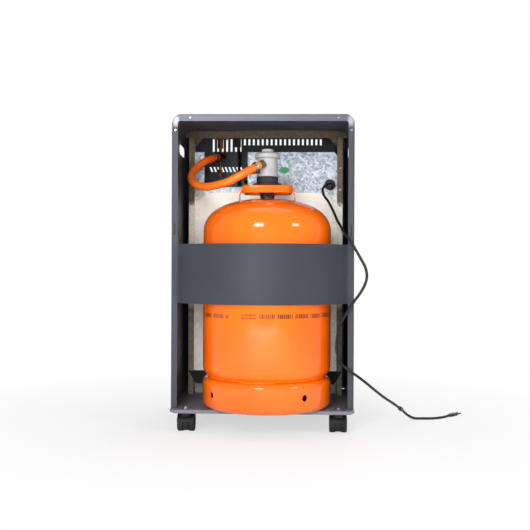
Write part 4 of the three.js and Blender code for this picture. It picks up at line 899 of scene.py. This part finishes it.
# %% Handle and valve
HANDLE_TOP = 569.5
bm = bmesh.new()
outer = rounded(BOTTLE_X - 59, BOTTLE_Y - 42, BOTTLE_X + 59, BOTTLE_Y + 42, 24, steps=10)
inner = rounded(BOTTLE_X - 53, BOTTLE_Y - 36, BOTTLE_X + 53, BOTTLE_Y + 36, 18, steps=10)
pressed(bm, [outer, inner], HANDLE_TOP - 18, 18, axis="z")
soften(bm, 2.6, segments=5, angle=50)
for side in (-1, 1):
    x = BOTTLE_X + side * 59
    foot = x + side * 7
    leg = [(x - side * 0.3, HANDLE_TOP - 4), (x - side * 2.5, HANDLE_TOP - 4), (foot - side * 2.5, 533.5 + 14),
           (foot - side * 2.5, 533.5), (foot, 533.5), (foot, 533.5 + 14)]
    pressed(bm, [leg], BOTTLE_Y - 19, 38, axis="y")
put("rolled_handle", bm, bottle_enamel, ["bottle_handle"], smooth=35)

bm = bmesh.new()
valve = [(0, 517), (11, 517), (11, 539.3), (15.2, 539.3), (16, 540.1)]
for i in range(3):
    z = 543 + 4 * i
    valve += [(16, z), (17.4, z + 0.5), (18, z + 1), (18, z + 2.2), (17.4, z + 2.7), (16, z + 3.2)]
valve += [(15, 557), (15, 570.2), (14.2, 571), (0, 571)]
spun(bm, valve, (BOTTLE_X, BOTTLE_Y), steps=72)
put("turned_valve", bm, grey_brass, ["bottle_valve"], smooth=25)
print("handle and valve done")

# %% [markdown]
# The regulator clicks on the valve. A black coupling with a fluted grip carries a body of grey
# lacquered zinc casting, with a cap, an adjusting knob and a small locking lever with a red tip.

# %% Regulator
cast_grey = moulded("lacquered_zinc_casting", "#a2a2a2", "#aeaeae", 0.36, grain_mm=1.4, grain=0.12, coat=0.15)


def fluted(bm, low, high, count, depth):
    """Presses shallow flutes into a round wall between two heights."""
    for vert in bm.verts:
        x, y = vert.co.x - BOTTLE_X, vert.co.y - BOTTLE_Y
        if low < vert.co.z < high and hypot(x, y) > 5:
            shrink = 1 - depth * (0.5 - 0.5 * cos(count * atan2(y, x))) / hypot(x, y)
            vert.co.x, vert.co.y = BOTTLE_X + x * shrink, BOTTLE_Y + y * shrink


bm = bmesh.new()
coupling = [(0, 571.3), (33, 571.3), (34, 572.1), (34, 574.5), (33.2, 575.3), (26.5, 575.6), (25.5, 577), (25.5, 578.5),
            (25.5, 588), (25.5, 589.5), (24.7, 591.3), (0, 591.3)]
spun(bm, coupling, (BOTTLE_X, BOTTLE_Y), steps=240)
fluted(bm, 578, 588.5, 40, 1.1)
put("regulator_coupling", bm, black_abs, ["regulator_base"], smooth=50)

bm = bmesh.new()
casting = [
    (0, 591.6), (23.6, 591.6), (24.5, 592.4), (24.5, 602), (23.9, 602.4), (23.9, 603.6), (24.5, 604), (24.5, 631.5),
    *arc((26.5, 632.5), 2, 180, 110, 4), *arc((27.5, 637), 2, -60, 0, 4), (29.5, 642.4), *arc((26.5, 642.5), 3, 0, 55, 5),
    (25, 646.9), (17.6, 650), (13.9, 650.2), (13.5, 651), (13.5, 651.2), (13.5, 654.8), (13.5, 655.2), (11.8, 656.8),
    (0, 657)]
spun(bm, casting, (BOTTLE_X, BOTTLE_Y), steps=192)
fluted(bm, 651.1, 655, 24, 0.9)
pin = bmesh.ops.create_cone(bm, cap_ends=True, segments=28, radius1=5, radius2=5, depth=14)
bmesh.ops.rotate(bm, verts=pin["verts"], cent=(0, 0, 0), matrix=Matrix.Rotation(pi / 2, 3, "X"))
bmesh.ops.translate(bm, verts=pin["verts"], vec=(BOTTLE_X - 21, 38, 600))
put("regulator_casting", bm, cast_grey, ["regulator_body"], smooth=35)

LEVER_X, LEVER_Z, LEVER_FRONT = BOTTLE_X - 21, 600.0, 24.7
for name, ends, finish, thick in (("lever_arm", (-4, 4), black_abs, 6), ("lever_tip", (-20, -3.6), red_plastic, 6)):
    bm = bmesh.new()
    shape = rounded(LEVER_X + ends[0], LEVER_Z - 4, LEVER_X + ends[1], LEVER_Z + 4, 3.4 if ends[1] > 0 else 2.6)
    pressed(bm, [shape], LEVER_FRONT, thick, axis="y")
    soften(bm, 0.8, angle=50)
    put(name, bm, finish, ["regulator_lever"], body="lever", smooth=40)
print("regulator done")

# %% [markdown]
# A clip holds the hose at each end: a steel strap with rolled edges, drawn tight round the rubber.

# %% Hose clips
for name, distance, node in (("clip_at_regulator", None, "hose_clamp_regulator"), ("clip_at_inlet", 12.5, "hose_clamp_inlet")):
    path = hose_path if distance else list(reversed(hose_path))
    centre, way = point_from_end(path, 0.0125)
    bm = bmesh.new()
    strap = [(10.1, -4), (11.2, -4), *arc((11.2, -3.5), 0.5, -90, 0, 3), (11.3, -2.9), (11.3, 2.9),
             *arc((11.2, 3.5), 0.5, 0, 90, 3), (10.1, 4), (10.1, -4)]
    spun(bm, strap, steps=64)
    lay_along(bm, centre, way)
    put(name, bm, plated_steel, [node], smooth=40)
print("hose clips done")

# %% [markdown]
# Twin-wheel casters are moulded nylon: a hood over two wheels that share a steel axle, and a steel
# stem with a nut above the base. The treads are rounded and scuffed by the floor.

# %% Casters
CASTER_X, CASTER_TRAIL, WHEEL, HUB, SPAN, ROOF = 175.0, 12.0, 19.0, 6.5, 19.8, 19.8
PLATE_UNDER = PLATE_TOP - SHEET
tread = [(0, 6.9), (17.6, 6.9), *arc((17.6, 8.3), 1.4, -90, 0, 4), *arc((16.4, 17.2), 2.6, 0, 90, 6), (14.2, 19.6),
         (13.4, 18.7), (6.6, 18.7), (5.6, 19.5), (0, 19.5)]
nut = [(0, PLATE_TOP + 0.3), (6.5, PLATE_TOP + 0.3), (6.5, PLATE_TOP + 3.6), (5.9, PLATE_TOP + 4.2), (3.8, PLATE_TOP + 4.2)]
stem_top = [(3.8, PLATE_TOP + 4.6), *arc((2.6, PLATE_TOP + 4.1), 1.2, 0, 90, 4), (0, PLATE_TOP + 5.3)]


def turn_to_x(bm, verts, centre):
    bmesh.ops.rotate(bm, verts=verts, cent=(0, 0, 0), matrix=Matrix.Rotation(pi / 2, 3, "Y"))
    bmesh.ops.translate(bm, verts=verts, vec=centre)


for tag, x, y in (("rear_left", -CASTER_X, 0), ("rear_right", CASTER_X, 0), ("front_left", -CASTER_X, 292),
                  ("front_right", CASTER_X, 292)):
    wheel_y = y + CASTER_TRAIL
    bm = bmesh.new()
    spun(bm, nut + [(0, PLATE_TOP + 4.2)], (x, y), steps=6)
    spun(bm, [(3.8, PLATE_TOP + 4.2), *stem_top], (x, y), steps=24)
    spun(bm, [(0, PLATE_UNDER - 9), (4, PLATE_UNDER - 9), (4, PLATE_TOP + 0.3)], (x, y), steps=24)
    put("stem_" + tag, bm, plated_steel, ["caster_stem_" + tag], "swivel_" + tag, smooth=40)

    bm = bmesh.new()
    outer = arc((wheel_y, WHEEL), ROOF + 1.5, 11, 169, 36)
    inner = arc((wheel_y, WHEEL), ROOF, 169, 11, 36)
    pressed(bm, [outer + inner], x - SPAN, 2 * SPAN, axis="x")
    soften(bm, 0.5, angle=50)
    neck = [(wheel_y - 12, WHEEL), (wheel_y + 12, WHEEL), (wheel_y + 12, 33), (wheel_y + 3, 38.6), (wheel_y - 12, 38.8)]
    pressed(bm, [neck], x - HUB, 2 * HUB, axis="x")
    disc = [(0, -HUB), *arc((16.6, -HUB + 0.8), 0.8, -90, 0, 3), *arc((16.6, HUB - 0.8), 0.8, 0, 90, 3), (0, HUB)]
    turn_to_x(bm, spun(bm, disc, steps=48), (x, wheel_y, WHEEL))
    collar = [(4.3, 36), (10.4, 36), (11, 37), (11, 51), *arc((9.8, 51.3), 1.2, 0, 90, 4), (4.3, 52.5), (4.3, 36)]
    spun(bm, collar, (x, y), steps=40)
    put("hood_" + tag, bm, black_nylon, ["caster_hood_" + tag], "swivel_" + tag, smooth=40)

    bm = bmesh.new()
    for side in (-1, 1):
        turn_to_x(bm, spun(bm, [(r, side * w) for r, w in tread], steps=56), (x, wheel_y, WHEEL))
    put("wheels_" + tag, bm, wheel_nylon, ["caster_wheels_" + tag], "wheels_" + tag, smooth=30)
print("casters done")

# %% [markdown]
# The guard over the burner window is a row of plated wires, each bent back at its ends and welded
# to two cross wires.

# %% Wire guard
def tube(bm, path, radius, sideways, sides=12):
    places = [Vector(p) for p in path]
    rings = []
    for i, place in enumerate(places):
        run = (places[min(i + 1, len(places) - 1)] - places[max(i - 1, 0)]).normalized()
        other = run.cross(Vector(sideways))
        angles = [2 * pi * k / sides for k in range(sides)]
        rings.append([place + radius * (Vector(sideways) * cos(a) + other * sin(a)) for a in angles])
    rows = loft(bm, rings, closed=True)
    bm.faces.new(rows[0])
    bm.faces.new(rows[-1])


GUARD_FACE, GUARD_LOW, GUARD_HIGH, GUARD_HALF, WIRE = 338.3, 245.7, 559.3, 158.6, 1.7
bm = bmesh.new()
for i in range(15):
    x = GUARD_HALF * (2 * i / 14 - 1)
    bottom = arc((GUARD_FACE - 4, GUARD_LOW + 4), 4, -90, 0, 6)
    top = arc((GUARD_FACE - 4, GUARD_HIGH - 4), 4, 0, 90, 6)
    tube(bm, [(x, y, z) for y, z in [(328.9, GUARD_LOW), *bottom, *top, (328.9, GUARD_HIGH)]], WIRE, (1, 0, 0))
for z in (323.25, 481.75):
    tube(bm, [(-161.5, 336.6, z), (161.5, 336.6, z)], WIRE, (0, 0, 1))
put("plated_guard", bm, plated_steel, ["wire_guard"], smooth=50)
print("guard done")

# %% [markdown]
# The controls sit on the top cover: a fluted knob with a raised grip over the gas valve, and the
# push button of the piezo igniter in its round bezel.

# %% Knob and igniter
KNOB_X, KNOB_Y, KNOB_SEAT = -120.0, 258.0, 736.0
bm = bmesh.new()
crown = [(3.9, KNOB_SEAT), (21.2, KNOB_SEAT), (22, KNOB_SEAT + 0.8), (22, KNOB_SEAT + 3.4), (21.4, KNOB_SEAT + 4.2),
         (19.4, KNOB_SEAT + 5.2), (18.9, KNOB_SEAT + 7), (18, KNOB_SEAT + 15), *arc((15.6, KNOB_SEAT + 15), 2, 0, 90, 5),
         (0, KNOB_SEAT + 17), (0, KNOB_SEAT + 14.5), (3.9, KNOB_SEAT + 14.5), (3.9, KNOB_SEAT)]
spun(bm, crown, (KNOB_X, KNOB_Y), steps=180)
for vert in bm.verts:
    x, y = vert.co.x - KNOB_X, vert.co.y - KNOB_Y
    if KNOB_SEAT + 6 < vert.co.z < KNOB_SEAT + 15.6 and hypot(x, y) > 16:
        shrink = 1 - 0.7 * (0.5 - 0.5 * cos(30 * atan2(y, x))) / hypot(x, y)
        vert.co.x, vert.co.y = KNOB_X + x * shrink, KNOB_Y + y * shrink
grip_bar = rounded(KNOB_X - 3, KNOB_Y - 16.3, KNOB_X + 3, KNOB_Y + 16.3, 2.8)
grip = bmesh.new()
pressed(grip, [grip_bar], KNOB_SEAT + 16, 4, axis="z")
soften(grip, 1.0, segments=4, angle=50)
mesh = bpy.data.meshes.new("grip")
grip.to_mesh(mesh)
bm.from_mesh(mesh)
grip.free()
bpy.data.meshes.remove(mesh)
put("fluted_knob", bm, black_abs, ["control_knob"], body="knob", smooth=35)

PUSH_X, PUSH_Y, PUSH_SEAT = -75.0, 268.0, COVER_TOP + 0.3
bm = bmesh.new()
bezel = [(0, PUSH_SEAT - 38.3), (8, PUSH_SEAT - 38.3), (8, PUSH_SEAT), (10, PUSH_SEAT), (10, PUSH_SEAT + 1.2),
         *arc((9.2, PUSH_SEAT + 1.2), 0.8, 0, 90, 4), (6.8, PUSH_SEAT + 2), (6.3, PUSH_SEAT + 1.5), (6.3, PUSH_SEAT - 8),
         (0, PUSH_SEAT - 8)]
spun(bm, bezel, (PUSH_X, PUSH_Y), steps=64)
put("igniter_bezel", bm, black_abs, ["piezo_igniter"], smooth=35)
bm = bmesh.new()
button = [(0, PUSH_SEAT - 2.7), (6, PUSH_SEAT - 2.7), (6, PUSH_SEAT + 5.8), *arc((4.8, PUSH_SEAT + 5.8), 1.2, 0, 90, 5),
          (3.4, PUSH_SEAT + 6.6), (0, PUSH_SEAT + 6.3)]
spun(bm, button, (PUSH_X, PUSH_Y), steps=64)
put("igniter_push", bm, red_plastic, ["igniter_button"], body="igniter_button", smooth=35)
print("controls done")

# %% [markdown]
# Pan-head screws hold the cover, the panels and the posts. They are bright zinc plate, so each one
# shows as a white point. A plain green sticker with no print is on the heat shield.

# %% Screws and sticker
def screw(name, x, y, z):
    bm = bmesh.new()
    spun(bm, [(0, 0.9), (1.3, 0.9), (1.3, 1.9), *arc((1.6, 0.2), 1.8, 85, 10, 5), (3.5, 0), (0, 0)], steps=24)
    bmesh.ops.rotate(bm, verts=bm.verts, cent=(0, 0, 0), matrix=Matrix.Rotation(pi / 2, 3, "X"))
    bmesh.ops.translate(bm, verts=bm.verts, vec=(x, y, z))
    return put(name, bm, plated_steel, smooth=35)


places = [(-168, 0, 722.5), (172, 0, 722.5), (-202, 0, 694), (203, 0, 694), (189, 207, 631), (189, 207, 575),
          (189, 207, 536), (-189, 207, 540)]
for i, place in enumerate(places):
    screw(f"screw_{i + 1}", *place)

sticker_green = moulded("green_paper_sticker", "#3c9a66", "#4fae78", 0.6, grain=0.05)
bm = bmesh.new()
pressed(bm, [[(47.3 + 13 * cos(a), 626.4 + 8 * sin(a)) for a in (2 * pi * i / 48 for i in range(48))]], 211.8, 0.2)
put("oval_sticker", bm, sticker_green, smooth=40)
print("screws:", len(places))

# %% [markdown]
# The burner plaques are cast ceramic with hundreds of fine holes that the gas burns in. They are a
# warm white, and a grid of small points, painted dark as the shade in the holes and with a little relief, stands for
# them.

# %% Ceramic plaque
def perforated_ceramic():
    finish, tree, bsdf = new_finish("perforated_ceramic", "#e9dfcd", 0.85)
    place = object_point(tree)
    axes = add_node(tree, "ShaderNodeSeparateXYZ", Vector=place)
    holes = None
    for axis in ("X", "Z"):
        across = calc(tree, "SUBTRACT", calc(tree, "FRACT", calc(tree, "DIVIDE", axes.outputs[axis], 0.0025)), 0.5)
        squared = calc(tree, "MULTIPLY", across, across)
        holes = squared if holes is None else calc(tree, "ADD", holes, squared)
    hole = calc(tree, "LESS_THAN", holes, 0.07)
    # Painted shade: the hole points are dark brown-grey.
    mix = add_node(
        tree, "ShaderNodeMixRGB", {"Color1": colour("#e9dfcd"), "Color2": colour("#6a5a4a")}, Fac=hole)
    tree.links.new(mix.outputs["Color"], bsdf.inputs["Base Color"])
    height = calc(tree, "SUBTRACT", 1.0, hole)
    bump = add_node(tree, "ShaderNodeBump", {"Strength": 0.4, "Distance": 0.0006}, Height=height)
    tree.links.new(bump.outputs["Normal"], bsdf.inputs["Normal"])
    return finish


plaque_ceramic = perforated_ceramic()
print("plaque finish ready")

# %% [markdown]
# The flat and plain pieces keep the imported model's own meshes. Each gets the finish of its real
# material, and its round faces are smoothed. The lower rail is black as painted shade under the shield.

# %% Finishes of the remaining pieces
FINISHES = [
    (cabinet_coat, ["front_panel"]),
    (zinc_shield, ["heat_shield"]),
    (zinc_frame, ["left_post", "right_post"]),
    (zinc_rail, ["top_rail"]),
    (zinc_box, ["lower_partition", "burner_box"]),
    # The lower rail's black is painted shade under the heat shield. The blower parts are black sheet.
    (black_sheet_and_shade, ["lower_rail", "blower_housing", "blower_rotor"]),
    (fibre_board, ["insulation_board"]),
    (plaque_ceramic, ["ceramic_plaque_1", "ceramic_plaque_2", "ceramic_plaque_3"]),
    (polished_steel, ["reflector", "pilot_burner"]),
    (plated_steel, ["burner_plenum"]),
    (turned_brass, ["inlet_fitting", "gas_valve", "valve_spindle"]),
    (grey_brass, ["regulator_outlet"]),
    (drawn_copper, ["burner_pipe"]),
    (motor_can, ["blower_motor"]),
    (black_abs, ["switch_body", "switch_rocker", "cord_gland"]),
]
for finish, names in FINISHES:
    for name in names:
        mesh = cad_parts[name].data
        mesh.materials.clear()
        mesh.materials.append(finish)
        for polygon in mesh.polygons:
            polygon.use_smooth = True
        mesh.set_sharp_from_angle(angle=radians(32))
print("plain pieces:", sum(len(names) for _, names in FINISHES))
